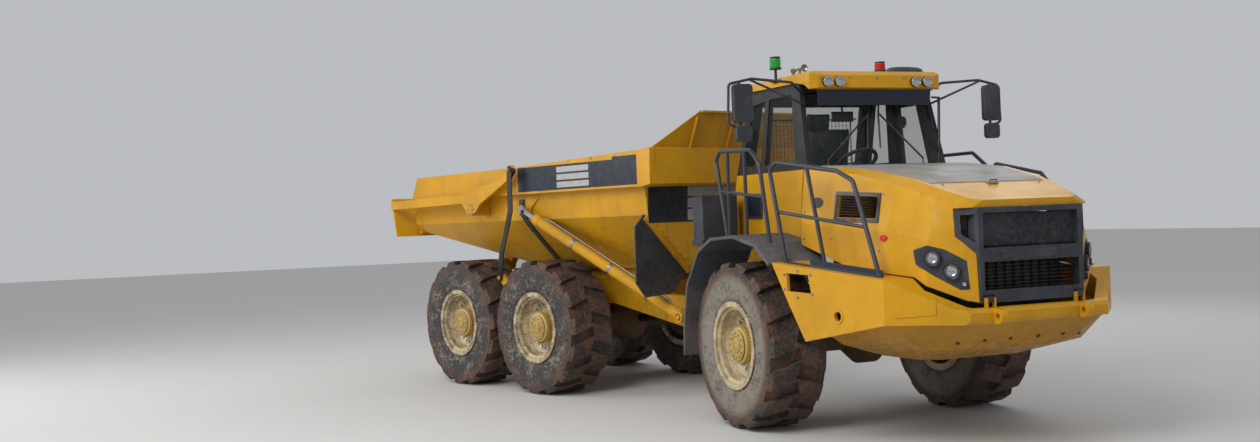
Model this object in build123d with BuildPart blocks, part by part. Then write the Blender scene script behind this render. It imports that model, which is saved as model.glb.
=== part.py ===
"""Articulated dump truck with six driven wheels, parked with its rear unit turned at the hitch.

Millimetres, +X forward along the front unit, +Y to its left, +Z up, ground at Z = 0.
Pieces are drawn from the front axle's centre, the rear unit in line with the front one, and are
then placed: the rear unit turned about the hitch pin, and all of it about the middle of its plan.
"""
import os
from math import cos, radians, sin

from build123d import *

# Clearances: pieces that are fixed or pinned, and pieces that pass each other
FIT = 0.3
RUNNING_GAP = 8.0

# Whole machine
HUB_HEIGHT = 795.0
TRACK_HALF = 1170.0
FRONT_TO_MID_AXLE = 4180.0
MID_TO_REAR_AXLE = 1670.0
HITCH_X = -1230.0
HITCH_Z = 1000.0
PARKED_TURN = 17.5
PLAN_MIDDLE = (-2357.5, -867.9)

# Wheels
TYRE_WIDTH = 600.0
TREAD_WIDTH = 540.0
LUG_DEPTH = 48.0
LUGS_PER_SIDE = 15
LUG_GROOVE = 130.0
LUG_SLANT = 18.0
RIM_RADIUS = 381.0
RIM_FLANGE_RADIUS = 424.0
RIM_WIDTH = 570.0
RIM_WALL = 26.0
DISC_OFFSET = 60.0
HUB_RADIUS = 175.0
HUB_REACH = 245.0
SPINDLE_RADIUS = 111.0
SPINDLE_REACH = 140.0

# Axles
AXLE_TUBE_RADIUS = 128.0
DIFF_RADIUS = 270.0
BRAKE_RADIUS = 290.0

# Front frame
RAIL_INNER = 400.0
RAIL_THICK = 80.0
RAIL_BOTTOM = 940.0
RAIL_TOP = 1200.0
FRAME_REAR_X = -560.0
FRAME_FRONT_X = 2440.0 - FIT
HITCH_LUG_RADIUS = 165.0
HITCH_LUG_THICK = 50.0
HITCH_PIN_RADIUS = 70.0
HITCH_BARREL_HALF = 165.0
CAB_FLOOR_Z = 1800.0
DECK_THICK = 95.0

# Hitch
HITCH_TUBE_RADIUS = 140.0
JOURNAL_RADIUS = 118.0
JOURNAL_FRONT_X = -1700.0
JOURNAL_REAR_X = -1960.0

# Rear frame
REAR_RAIL_OUTER = 600.0
REAR_RAIL_THICK = 130.0
REAR_RAIL_TOP = 1320.0
REAR_FRAME_END_X = -6600.0

# Bin, the load space
BIN_WALL = 22.0
BIN_FLOOR_Z = 1470.0
BIN_HALF = 1450.0
BAND_BOTTOM_Z = 2390.0
BAND_THICK = 110.0
TIP_X = -6150.0
TIP_Z = 1500.0
GATE_PIVOT_X = -5276.0
GATE_PIVOT_Z = 2240.0
GATE_ARM_INNER = 1528.0
GATE_ARM_THICK = 38.0
STRAP_FOOT = (-5160.0, 1370.0)
STRAP_HEAD = (-4390.0, 2690.0)

# Hoist cylinders: base on the frame, eye on the bin
HOIST_BASE = (-2150.0, 900.0, 950.0)
HOIST_RISE = 29.641
HOIST_SPREAD = 530.0
HOIST_BARREL_RADIUS = 65.0
HOIST_EYE_HALF = 28.0
HOIST_PIN_RADIUS = 26.0
HOIST_BALL_RADIUS = 46.0
HOIST_BALL_RELIEF = 12.0
HOIST_BRACKET_FACE = 1352.0
HOIST_ROD_RADIUS = 38.0
HOIST_ROD_LENGTH = 2500.0
HOIST_TAIL_ROOM = 80.5
HOIST_GLAND_ROOM = 250.5
HOIST_CLOSED = HOIST_ROD_LENGTH + HOIST_TAIL_ROOM
HOIST_REACH = (HOIST_CLOSED ** 2 - HOIST_SPREAD ** 2) ** 0.5
HOIST_EYE = (HOIST_BASE[0] - HOIST_REACH * cos(radians(HOIST_RISE)), HOIST_BASE[1] + HOIST_SPREAD,
             HOIST_BASE[2] + HOIST_REACH * sin(radians(HOIST_RISE)))

# Steering cylinders: base on the front frame, eye on the rear frame
STEER_BASE = (-500.0, 590.0, 930.0)
STEER_EYE = (-1380.0, 290.0, 930.0)
STEER_BARREL_RADIUS = 52.0
STEER_BARREL_LENGTH = 560.0
STEER_ROD_LENGTH = 622.0
STEER_ROD_RADIUS = 30.0
STEER_EYE_HALF = 32.0
STEER_PIN_RADIUS = 22.0

# Cab
CAB_HALF = 800.0
CAB_ROOF_HALF = 735.0
GLASS_THICK = 8.0
DOOR_HINGE_X = -400.0
DOOR_FRONT_X = 140.0
DOOR_PIN = (-370.0, 832.0)
DOOR_KNUCKLES = ((1990.0, 790.0), (2890.0, 750.0))

# Hood
HOOD_WALL = 26.0
HOOD_REAR_X = 608.0
HOOD_HINGE_X = 2600.0
HOOD_HINGE_Z = 1290.0

REAR_AXLES_X = (-FRONT_TO_MID_AXLE, -FRONT_TO_MID_AXLE - MID_TO_REAR_AXLE)
BEAM_MIDDLE_X = (REAR_AXLES_X[0] + REAR_AXLES_X[1]) / 2
SIDES = (("right", -1), ("left", 1))

TO_PLAN = Location((-PLAN_MIDDLE[0], -PLAN_MIDDLE[1], 0))
FRONT_PLACE = TO_PLAN
REAR_PLACE = (
    TO_PLAN
    * Location((HITCH_X, 0, 0))
    * Location((0, 0, 0), (0, 0, PARKED_TURN))
    * Location((-HITCH_X, 0, 0))
)


def prism(outline, plane, depth, mode=Mode.ADD):
    """Add a straight-sided outline on a plane, pushed out by a depth, to the part being built."""
    with BuildSketch(plane) as profile:
        with BuildLine():
            Polyline(*outline, close=True)
        make_face()
    extrude(profile.sketch, amount=depth, mode=mode)


def side_view(outline, y_low, y_high, mode=Mode.ADD):
    """Push an outline of (x, z) points across the machine, from one Y to another."""
    prism(outline, Plane.XZ.offset(-y_high), y_high - y_low, mode)


def front_view(outline, x_low, x_high, mode=Mode.ADD):
    """Push an outline of (y, z) points along the machine, from one X to another."""
    prism(outline, Plane.YZ.offset(x_low), x_high - x_low, mode)


def plan_view(outline, z_low, z_high, mode=Mode.ADD):
    """Push an outline of (x, y) points up, from one Z to another."""
    prism(outline, Plane.XY.offset(z_low), z_high - z_low, mode)


def block(x_range, y_range, z_range, mode=Mode.ADD):
    """Add a plain block between pairs of X, Y and Z."""
    low, high = x_range
    plan_view(
        [(low, y_range[0]), (high, y_range[0]), (high, y_range[1]), (low, y_range[1])],
        z_range[0], z_range[1], mode,
    )


def rod(start, end, radius, mode=Mode.ADD):
    """Add a round bar from one point to another."""
    line = Vector(*end) - Vector(*start)
    with BuildSketch(Plane(origin=start, z_dir=line)) as section:
        Circle(radius)
    extrude(section.sketch, amount=line.length, mode=mode)


def turned(outline, mode=Mode.ADD, centre=(0, 0, 0)):
    """Turn an outline of (radius, distance along Y) points about the Y axis through a centre."""
    with BuildSketch(Plane.XY) as profile:
        with BuildLine():
            Polyline(*outline, close=True)
        make_face()
    shape = revolve(profile.sketch, axis=Axis.Y, mode=Mode.PRIVATE)
    add(Location(centre) * shape, mode=mode)


def tube_run(points, radius, bend):
    """Sweep a round tube along points, with arcs of one bend radius at its corners."""
    with BuildLine() as path:
        FilletPolyline(*points, radius=bend)
    start = Vector(*points[0])
    with BuildSketch(Plane(origin=start, z_dir=Vector(*points[1]) - start)) as section:
        Circle(radius)
    sweep(section.sketch, path=path.line)


def write(name, part, place):
    """Label a finished piece and write it where it stands on the parked machine."""
    placed = part.moved(place)
    placed.label = name
    export_step(placed, f"parts/{name}.step")
    FINISHED.append(placed)


os.makedirs("parts", exist_ok=True)
FINISHED = []

# Tyres: a ring with square shoulders, cut by slanted grooves from both sides so that lugs stand
BEAD_HALF = RIM_WIDTH / 2 - 22
TYRE_OUTLINE = [
    (RIM_RADIUS + FIT, -BEAD_HALF),
    (RIM_FLANGE_RADIUS, -BEAD_HALF),
    (RIM_FLANGE_RADIUS + 40, -TYRE_WIDTH / 2 + 14),
    (HUB_HEIGHT - 150, -TYRE_WIDTH / 2),
    (HUB_HEIGHT - 45, -TYRE_WIDTH / 2 + 6),
    (HUB_HEIGHT, -TREAD_WIDTH / 2),
]
with BuildPart() as tyre:
    turned(TYRE_OUTLINE + [(radius, -side) for radius, side in reversed(TYRE_OUTLINE)])
    GROOVE_FLOOR = HUB_HEIGHT - LUG_DEPTH
    for side in (-1, 1):
        first = 90 + (180 / LUGS_PER_SIDE if side > 0 else 0)
        for lug in range(LUGS_PER_SIDE):
            angle = first + (lug + 0.5) * 360 / LUGS_PER_SIDE
            heading = radians(angle)
            outward = Vector(cos(heading), 0, sin(heading))
            middle = outward * GROOVE_FLOOR + Vector(0, side * TYRE_WIDTH / 4, 0)
            across = Vector(0, side, 0).rotate(Axis((0, 0, 0), outward), side * LUG_SLANT)
            with BuildSketch(Plane(origin=middle, x_dir=across, z_dir=outward)) as groove:
                Rectangle(TYRE_WIDTH / 2 + 40, LUG_GROOVE)
            extrude(groove.sketch, amount=LUG_DEPTH + 30, mode=Mode.SUBTRACT)

# Rims: barrel, flanges, dish and the planetary hub that stands out of it, seen from outside
BARREL_INNER = RIM_RADIUS - RIM_WALL
with BuildPart() as rim:
    turned([
        (RIM_FLANGE_RADIUS, -RIM_WIDTH / 2),
        (RIM_FLANGE_RADIUS, -BEAD_HALF - FIT),
        (RIM_RADIUS, -BEAD_HALF - FIT),
        (RIM_RADIUS, BEAD_HALF + FIT),
        (RIM_FLANGE_RADIUS, BEAD_HALF + FIT),
        (RIM_FLANGE_RADIUS, RIM_WIDTH / 2),
        (BARREL_INNER + 18, RIM_WIDTH / 2),
        (BARREL_INNER + 18, RIM_WIDTH / 2 - 20),
        (BARREL_INNER - 12, RIM_WIDTH / 2 - 38),
        (BARREL_INNER - 12, RIM_WIDTH / 2 - 95),
        (BARREL_INNER - 40, DISC_OFFSET + 70),
        (HUB_RADIUS + 45, DISC_OFFSET + 20),
        (HUB_RADIUS - 14, DISC_OFFSET + 20),
        (HUB_RADIUS - 14, HUB_REACH - 62),
        (HUB_RADIUS, HUB_REACH - 62),
        (HUB_RADIUS, HUB_REACH - 22),
        (HUB_RADIUS - 40, HUB_REACH - 10),
        (HUB_RADIUS - 55, HUB_REACH),
        (0, HUB_REACH),
        (0, SPINDLE_REACH + 20),
        (SPINDLE_RADIUS + FIT, SPINDLE_REACH + 20),
        (SPINDLE_RADIUS + FIT, 0),
        (HUB_RADIUS + 60, 0),
        (BARREL_INNER, DISC_OFFSET),
        (BARREL_INNER, -RIM_WIDTH / 2),
    ])

for axle, x, place in (
    ("front", 0.0, FRONT_PLACE),
    ("mid", REAR_AXLES_X[0], REAR_PLACE),
    ("rear", REAR_AXLES_X[1], REAR_PLACE),
):
    for side, sign in SIDES:
        turn = 0 if sign > 0 else 180
        at_hub = place * Location((x, sign * TRACK_HALF, HUB_HEIGHT)) * Location((0, 0, 0), (0, 0, turn))
        write(f"{axle}_tyre_{side}", tyre.part, at_hub)
        write(f"{axle}_rim_{side}", rim.part, at_hub)

# Axles: differential, tubes, brake housings and the spindles that carry the wheels
BRAKE_INNER = TRACK_HALF - RIM_WIDTH / 2 + 20
BRAKE_OUTER = TRACK_HALF - 15
AXLE_OUTLINE = [
    (0, 0),
    (DIFF_RADIUS, 0),
    (DIFF_RADIUS, 90),
    (AXLE_TUBE_RADIUS, 260),
    (AXLE_TUBE_RADIUS, BRAKE_INNER - 60),
    (BRAKE_RADIUS, BRAKE_INNER),
    (BRAKE_RADIUS, BRAKE_OUTER),
    (SPINDLE_RADIUS, BRAKE_OUTER),
    (SPINDLE_RADIUS, TRACK_HALF + SPINDLE_REACH),
    (0, TRACK_HALF + SPINDLE_REACH),
]
with BuildPart() as axle_beam:
    turned(AXLE_OUTLINE)
    mirror(about=Plane.XZ)
write("front_axle", axle_beam.part, FRONT_PLACE * Location((0, 0, HUB_HEIGHT)))
write("mid_axle", axle_beam.part, REAR_PLACE * Location((REAR_AXLES_X[0], 0, HUB_HEIGHT)))
write("rear_axle", axle_beam.part, REAR_PLACE * Location((REAR_AXLES_X[1], 0, HUB_HEIGHT)))

# Front frame: two rails, crossmembers, axle saddles, cab posts and the hitch's two lugs
LUG_LOW = HITCH_Z - HITCH_BARREL_HALF - RUNNING_GAP
LUG_HIGH = HITCH_Z + HITCH_BARREL_HALF + RUNNING_GAP
CROSS_LENGTH = 120.0
RAIL_OUTER = RAIL_INNER + RAIL_THICK
with BuildPart() as front_frame:
    for sign in (-1, 1):
        low, high = sorted((sign * RAIL_INNER, sign * RAIL_OUTER))
        block((FRAME_REAR_X, FRAME_FRONT_X - 60), (low, high), (RAIL_BOTTOM, RAIL_TOP))
        block((-100, 100), (low, high), (HUB_HEIGHT, RAIL_BOTTOM))
        for post_x in (-950, 330):
            block((post_x - 45, post_x + 45), (low, high), (RAIL_BOTTOM + 80, CAB_FLOOR_Z - DECK_THICK))
        block((-950, FRAME_REAR_X), (low, high), (RAIL_BOTTOM + 80, RAIL_TOP))
        lug_low, lug_high = sorted((sign * RAIL_OUTER, sign * (STEER_BASE[1] + 45)))
        block((STEER_BASE[0] - 60, STEER_BASE[0] + 60), (lug_low, lug_high),
              (STEER_BASE[2] + STEER_BARREL_RADIUS + RUNNING_GAP, STEER_BASE[2] + 110))
        base_x, base_y, base_z = STEER_BASE
        rod((base_x, sign * base_y, base_z - STEER_BARREL_RADIUS - 6), (base_x, sign * base_y, base_z + 100),
            STEER_PIN_RADIUS)
    for cross_x, low_z, high_z in (
        (FRAME_REAR_X, LUG_LOW - HITCH_LUG_THICK, LUG_HIGH + HITCH_LUG_THICK),
        (FRAME_FRONT_X - CROSS_LENGTH, 1005, RAIL_TOP),
    ):
        block((cross_x, cross_x + CROSS_LENGTH), (-RAIL_OUTER, RAIL_OUTER), (low_z, high_z))
    for base_z in (LUG_LOW - HITCH_LUG_THICK, LUG_HIGH):
        with BuildSketch(Plane.XY.offset(base_z)) as lug:
            with BuildLine():
                Polyline(
                    (HITCH_X, -HITCH_LUG_RADIUS), (HITCH_X + 260, -HITCH_LUG_RADIUS),
                    (FRAME_REAR_X, -RAIL_OUTER + 40), (FRAME_REAR_X, RAIL_OUTER - 40),
                    (HITCH_X + 260, HITCH_LUG_RADIUS), (HITCH_X, HITCH_LUG_RADIUS),
                )
                ThreePointArc(
                    (HITCH_X, HITCH_LUG_RADIUS), (HITCH_X - HITCH_LUG_RADIUS, 0),
                    (HITCH_X, -HITCH_LUG_RADIUS),
                )
            make_face()
            with Locations((HITCH_X, 0)):
                Circle(HITCH_PIN_RADIUS + FIT, mode=Mode.SUBTRACT)
        extrude(lug.sketch, amount=HITCH_LUG_THICK)
    rod((0, -700, HUB_HEIGHT), (0, 700, HUB_HEIGHT), AXLE_TUBE_RADIUS + FIT, Mode.SUBTRACT)
write("front_frame", front_frame.part, FRONT_PLACE)

# Engine, a plain block at its place
with BuildPart() as engine:
    block((700, 2000), (FIT - RAIL_INNER, RAIL_INNER - FIT), (960, 1780))
write("engine_block", engine.part, FRONT_PLACE)

# Radiator pack, seen through the lower opening of the grille
RADIATOR_X = 2230.0
with BuildPart() as radiator:
    block((RADIATOR_X, RADIATOR_X + 130), (-470, 470), (RAIL_TOP + FIT, 1900))
    with Locations((RADIATOR_X + 130, 0, 1500)):
        with GridLocations(1, 90, 1, 9):
            Box(24, 40, 420, align=(Align.MIN, Align.CENTER, Align.CENTER))
write("radiator", radiator.part, FRONT_PLACE)

# Belly plate, the tray under the nose
BELLY_TOP_Z = 1100.0 - FIT
BELLY_KNEE_Z = 868.0
BELLY_LOW_Z = 742.0
BELLY_TOP = [(1230, 1330), (2180, 1130), (2620, 670)]
BELLY_KNEE = [(1245, 1000), (2190, 810), (2350, 500)]
BELLY_LOW = [(1260, 600), (1780, 560), (1880, 380)]


def tray(inset, z_low, mode):
    """Loft the belly's tapered form, drawn in by an inset."""
    sections = []
    for points, z in ((BELLY_LOW, z_low), (BELLY_KNEE, BELLY_KNEE_Z), (BELLY_TOP, BELLY_TOP_Z)):
        half = [(x + (-6 * inset if index == 0 else -inset), y - inset)
                for index, (x, y) in enumerate(points)]
        with BuildSketch(Plane.XY.offset(z)) as section:
            with BuildLine():
                Polyline(*half, *[(x, -y) for x, y in reversed(half)], close=True)
            make_face()
        sections.append(section.sketch)
    loft(sections, ruled=True, mode=mode)


with BuildPart() as belly:
    tray(0, BELLY_LOW_Z, Mode.ADD)
    tray(22, BELLY_LOW_Z + 22, Mode.SUBTRACT)
write("belly_plate", belly.part, FRONT_PLACE)

# Nose: side skirts with their ledges, and the bumper with its corner panels
NOSE_PLAN = [(820, 1450), (2180, 1170), (2660, 690)]
SKIRT_PROFILE = [(820, 1605), (2180, 1470), (2180, 1100), (1230, 918), (1000, 1290)]
PANEL = 30.0
LEDGE_INNER_REAR = 1020.0
LEDGE_INNER_FRONT = 880.0
PORT_X, PORT_Y, PORT_Z = 1645.0, 1280.0, 1154.0
PORT_RADIUS = 42.0
SKIRT_VENT = [(1018, 1352), (1012, 1512), (1290, 1498), (1322, 1338)]
low_profile = [(x, z - PANEL) for x, z in SKIRT_PROFILE[:2]] + [(2200, 800), (700, 800), (780, 1570)]
with BuildPart() as skirt_inside:
    for sign in (-1, 1):
        inner = [(780, sign * (1458 - PANEL)), (2200, sign * (1166 - PANEL))]
        plan_view(inner + [(2200, 0), (780, 0)], 800, 1600)
    side_view(low_profile, -1500, 1500, Mode.INTERSECT)
with BuildPart() as skirts:
    for sign in (-1, 1):
        outer = [(x, sign * y) for x, y in NOSE_PLAN[:2]]
        plan_view(outer + [(2180, sign * LEDGE_INNER_FRONT), (820, sign * LEDGE_INNER_REAR)], 900, 1620)
    side_view(SKIRT_PROFILE, -1500, 1500, Mode.INTERSECT)
    add(skirt_inside.part, mode=Mode.SUBTRACT)
    for sign in (-1, 1):
        at_port = Vector(PORT_X, sign * PORT_Y, PORT_Z)
        (first_x, first_y), (next_x, next_y) = NOSE_PLAN[:2]
        out = Vector(first_y - next_y, sign * (next_x - first_x), 0).normalized()
        rod(at_port - out * 15, at_port + out * 8, PORT_RADIUS + 20)
        rod(at_port - out * 60, at_port + out * 20, PORT_RADIUS, Mode.SUBTRACT)
        low, high = sorted((sign * 1150, sign * 1480))
        side_view(SKIRT_VENT, low, high, Mode.SUBTRACT)
write("side_skirts", skirts.part, FRONT_PLACE)

BUMPER_REAR_X = 2180.0 + FIT
BUMPER_PROFILE = [(BUMPER_REAR_X, 1470), (2560, 1235), (2630, 1220), (2660, 1190), (2660, 1130),
                  (2630, 1100), (BUMPER_REAR_X, 1100)]
TOW_EYE_Y = 430.0
TOW_EYE_X = 2700.0
TOW_EYE_Z = 1160.0
TOW_EYE_BORE = 50.0
TOW_EYE_THICK = 60.0
with BuildPart() as bumper:
    plan_view(
        [(BUMPER_REAR_X, 1170), (2660, 690), (2660, -690), (BUMPER_REAR_X, -1170)], 1090, 1480
    )
    side_view(BUMPER_PROFILE, -1500, 1500, Mode.INTERSECT)
    plan_view(
        [(2100, 1110), (2165, 1110), (2450, 820), (2450, -820), (2165, -1110), (2100, -1110)],
        1000, 1180, Mode.SUBTRACT,
    )
    plan_view([(2100, 885), (2330, 885), (2590, 610), (2590, -610), (2330, -885), (2100, -885)],
              1215, 1600, Mode.SUBTRACT)
    block((2100, 2440), (-700, 700), (1000, 1600), Mode.SUBTRACT)
    for sign in (-1, 1):
        with BuildSketch(Plane.XZ.offset(-(sign * TOW_EYE_Y + TOW_EYE_THICK / 2))) as eye:
            with Locations((TOW_EYE_X - 60, TOW_EYE_Z)):
                Rectangle(120, 120)
            with Locations((TOW_EYE_X, TOW_EYE_Z)):
                Circle(60)
                Circle(TOW_EYE_BORE / 2, mode=Mode.SUBTRACT)
        extrude(eye.sketch, amount=TOW_EYE_THICK)
        for ear in (-38, 38):
            low, high = sorted((sign * 450 + ear - 8, sign * 450 + ear + 8))
            block((HOOD_HINGE_X - 18, HOOD_HINGE_X + 18), (low, high), (1200, HOOD_HINGE_Z + 14))
        rod((HOOD_HINGE_X, sign * 450 - 40, HOOD_HINGE_Z), (HOOD_HINGE_X, sign * 450 + 40, HOOD_HINGE_Z), 10)
write("bumper", bumper.part, FRONT_PLACE)

# Fenders with their flaps, an arch over each front wheel
FENDER_OUTLINE = [
    (820, 1600), (560, 1770), (110, 1854), (-360, 1830), (-660, 1707), (-960, 1350), (-1070, 877),
    (-1080, 620),
]
FENDER_WALL = 30.0
DECK_HALF = 878.0
with BuildPart() as fenders:
    for sign in (-1, 1):
        inner, outer = DECK_HALF + FIT, 1480
        with BuildSketch(Plane.XZ.offset(-outer if sign > 0 else inner)) as arch:
            with BuildLine():
                Polyline(*FENDER_OUTLINE)
                offset(amount=FENDER_WALL, side=Side.LEFT)
            make_face()
        extrude(arch.sketch, amount=outer - inner)
write("fenders", fenders.part, FRONT_PLACE)

# Deck under the cab, and the guard box behind it
with BuildPart() as deck:
    block((-1130, HOOD_REAR_X - RUNNING_GAP), (-DECK_HALF, DECK_HALF),
          (CAB_FLOOR_Z - DECK_THICK + FIT, CAB_FLOOR_Z))
    block((-1120, -860), (-1320, -DECK_HALF), (1740, CAB_FLOOR_Z))
    block((-1110, -880), (-1300, -900), (CAB_FLOOR_Z, 2250))
write("deck", deck.part, FRONT_PLACE)

# Cowl between the cab and the hood
COWL_FRONT_X = HOOD_REAR_X - RUNNING_GAP
with BuildPart() as cowl:
    sections = []
    for x, half, low_z, knee_z, top_z in (
        (475, 810, CAB_FLOOR_Z + FIT, 2200, 2425), (COWL_FRONT_X, 1010, CAB_FLOOR_Z + FIT, 1950, 2445),
    ):
        with BuildSketch(Plane.YZ.offset(x)) as section:
            with BuildLine():
                Polyline(
                    (-half, low_z), (-half, knee_z), (-half * 0.95, top_z), (half * 0.95, top_z),
                    (half, knee_z), (half, low_z), close=True,
                )
            make_face()
        sections.append(section.sketch)
    loft(sections, ruled=True)
    block((400, COWL_FRONT_X), (-DECK_HALF - 1, DECK_HALF + 1), (1600, CAB_FLOOR_Z + FIT), Mode.SUBTRACT)
write("cowl", cowl.part, FRONT_PLACE)

# Cab: a shell with sloped rear, its windows and door opening cut
CAB_SIDE = [(-1130, 1800), (-1150, 2130), (-810, 3300), (190, 3290), (395, 2430), (470, 1800)]
CAB_FACE = [(-CAB_HALF, 1800), (-CAB_HALF, 2400), (-CAB_ROOF_HALF, 3300),
            (CAB_ROOF_HALF, 3300), (CAB_HALF, 2400), (CAB_HALF, 1800)]
SIDE_WINDOWS = (
    [(-450, 2530), (-400, 3185), (55, 3190), (160, 2535)],
    [(-945, 2540), (-745, 3150), (-480, 3180), (-530, 2535)],
)
SCREEN = [(-748, 2485), (-688, 3195), (688, 3195), (748, 2485)]
REAR_SCREEN = [(-640, 2300), (-600, 3150), (600, 3150), (640, 2300)]
SCREEN_DEPTH_X = 165.0
DOOR_OPENING = [(DOOR_HINGE_X + 30, 1880), (DOOR_HINGE_X + 30, 3170), (DOOR_FRONT_X - 60, 3170),
                (DOOR_FRONT_X + 90, 2460), (DOOR_FRONT_X + 90, 1880)]
CAB_INSIDE_SIDE = [(-1075, 1860), (-1092, 2140), (-768, 3250), (150, 3240), (336, 2440), (400, 1860)]
with BuildPart() as cab_inside:
    side_view(CAB_INSIDE_SIDE, -900, 900)
    front_view([(-745, 1860), (-745, 2400), (-682, 3250), (682, 3250), (745, 2400), (745, 1860)],
               -1300, 600, Mode.INTERSECT)
with BuildPart() as cab_frame:
    side_view(CAB_SIDE, -900, 900)
    front_view([(y, z + (FIT if z == 1800 else 0)) for y, z in CAB_FACE], -1300, 600, Mode.INTERSECT)
    add(cab_inside.part, mode=Mode.SUBTRACT)
    side_view(SIDE_WINDOWS[0], -900, 0, Mode.SUBTRACT)
    for sign in (-1, 1):
        low, high = sorted((0, sign * 900))
        side_view(SIDE_WINDOWS[1], low, high, Mode.SUBTRACT)
    side_view(DOOR_OPENING, 0, 900, Mode.SUBTRACT)
    front_view(SCREEN, SCREEN_DEPTH_X, 600, Mode.SUBTRACT)
    front_view(REAR_SCREEN, -1300, -600, Mode.SUBTRACT)
    for low_z, skin_y in DOOR_KNUCKLES:
        for z in (low_z, low_z + 100):
            block((DOOR_PIN[0] - 20, DOOR_PIN[0] + 2), (750, DOOR_PIN[1]), (z, z + 20))
            rod((*DOOR_PIN, z), (*DOOR_PIN, z + 20), 14)
        rod((*DOOR_PIN, low_z), (*DOOR_PIN, low_z + 120), 9)
write("cab_frame", cab_frame.part, FRONT_PLACE)


def cab_form(depth):
    """The cab's outer form, drawn in by a depth on all but its top and bottom."""
    with BuildPart() as form:
        side_view([(-1130 + depth, 1800), (-1150 + depth, 2130), (-810 + depth, 3300),
                   (190 - depth, 3290), (395 - depth, 2430), (470 - depth, 1800)], -900, 900)
        front_view([(-CAB_HALF + depth, 1800), (-CAB_HALF + depth, 2400), (-CAB_ROOF_HALF + depth, 3300),
                    (CAB_ROOF_HALF - depth, 3300), (CAB_HALF - depth, 2400), (CAB_HALF - depth, 1800)],
                   -1300, 600, Mode.INTERSECT)
    return form.part


# Cab glass: panes set a little inside their openings
GLASS_DEPTH = 12.0
GLASS_OUTSIDE = cab_form(GLASS_DEPTH)
GLASS_INSIDE = cab_form(GLASS_DEPTH + GLASS_THICK)
with BuildPart() as cab_glass:
    side_view(SIDE_WINDOWS[0], -900, -650)
    for sign in (-1, 1):
        low, high = sorted((sign * 650, sign * 900))
        side_view(SIDE_WINDOWS[1], low, high)
    front_view(SCREEN, SCREEN_DEPTH_X, 600)
    front_view(REAR_SCREEN, -1300, -780)
    add(GLASS_OUTSIDE, mode=Mode.INTERSECT)
    add(GLASS_INSIDE, mode=Mode.SUBTRACT)
write("cab_glass", cab_glass.part, FRONT_PLACE)

# Cab door on the left, hinged at its rear edge, with a window
DOOR_GAP = 6.0
with BuildPart() as door_blank:
    side_view(
        [(DOOR_HINGE_X + 30 + DOOR_GAP, 1880 + DOOR_GAP), (DOOR_HINGE_X + 30 + DOOR_GAP, 3170 - DOOR_GAP),
         (DOOR_FRONT_X - 62 - DOOR_GAP, 3170 - DOOR_GAP), (DOOR_FRONT_X + 90 - DOOR_GAP, 2460),
         (DOOR_FRONT_X + 90 - DOOR_GAP, 1880 + DOOR_GAP)], 650, 900,
    )
    add(cab_form(-DOOR_GAP), mode=Mode.INTERSECT)
    add(cab_form(38), mode=Mode.SUBTRACT)
DOOR_LOWER_WINDOW = [(-250, 1980), (-250, 2330), (140, 2330), (140, 1980)]
DOOR_WINDOW = [(-300, 2440), (-300, 3090), (25, 3090), (150, 2460)]
with BuildPart() as cab_door:
    add(door_blank.part)
    for low_z, skin_y in DOOR_KNUCKLES:
        block((DOOR_PIN[0], DOOR_PIN[0] + 40), (skin_y, DOOR_PIN[1] + 8), (low_z + 22, low_z + 98))
        rod((*DOOR_PIN, low_z + 22), (*DOOR_PIN, low_z + 98), 13)
        rod((*DOOR_PIN, low_z), (*DOOR_PIN, low_z + 120), 9 + FIT, Mode.SUBTRACT)
    side_view(DOOR_WINDOW, 600, 900, Mode.SUBTRACT)
    side_view(DOOR_LOWER_WINDOW, 600, 900, Mode.SUBTRACT)
write("cab_door", cab_door.part, FRONT_PLACE)
with BuildPart() as door_glass:
    side_view(DOOR_WINDOW, 650, 900)
    side_view(DOOR_LOWER_WINDOW, 650, 900)
    add(GLASS_OUTSIDE, mode=Mode.INTERSECT)
    add(GLASS_INSIDE, mode=Mode.SUBTRACT)
write("door_glass", door_glass.part, FRONT_PLACE)

# Roof cap with its visor over the windscreen
with BuildPart() as cab_roof:
    side_view([(-900, 3300 + FIT), (-925, 3335), (-870, 3400), (60, 3425), (370, 3388), (425, 3345),
               (425, 3225), (390, 3212), (330, 3262), (192, 3290 + FIT)], -770, 770)
    front_view([(-770, 3200), (-770, 3320), (-700, 3390), (-500, 3430), (500, 3430), (700, 3390), (770, 3320),
                (770, 3200)], -1000, 500, Mode.INTERSECT)
    plan_view([(-1000, -770), (300, -770), (395, -740), (430, -650), (430, 650), (395, 740), (300, 770),
               (-1000, 770)], 3100, 3500, Mode.INTERSECT)
    side_view(CAB_SIDE, -900, 900, Mode.SUBTRACT)
write("cab_roof", cab_roof.part, FRONT_PLACE)

# Cab inside: seat, steering column and wheel, dashboard
with BuildPart() as interior:
    block((-560, -120), (-230, 230), (1860 + FIT, 2090))
    block((-600, -80), (-260, 260), (2090, 2210))
    side_view([(-600, 2210), (-470, 2210), (-620, 2900), (-730, 2880)], -240, 240)
    block((60, 330), (-700, 700), (1860 + FIT, 2330))
    rod((170, 0, 2300), (20, 0, 2520), 35)
    with BuildSketch(Plane(origin=(20, 0, 2520), z_dir=(-150, 0, 220))) as wheel_face:
        Circle(215)
        Circle(180, mode=Mode.SUBTRACT)
        Rectangle(370, 50)
    extrude(wheel_face.sketch, amount=24)
write("cab_interior", interior.part, FRONT_PLACE)

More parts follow.
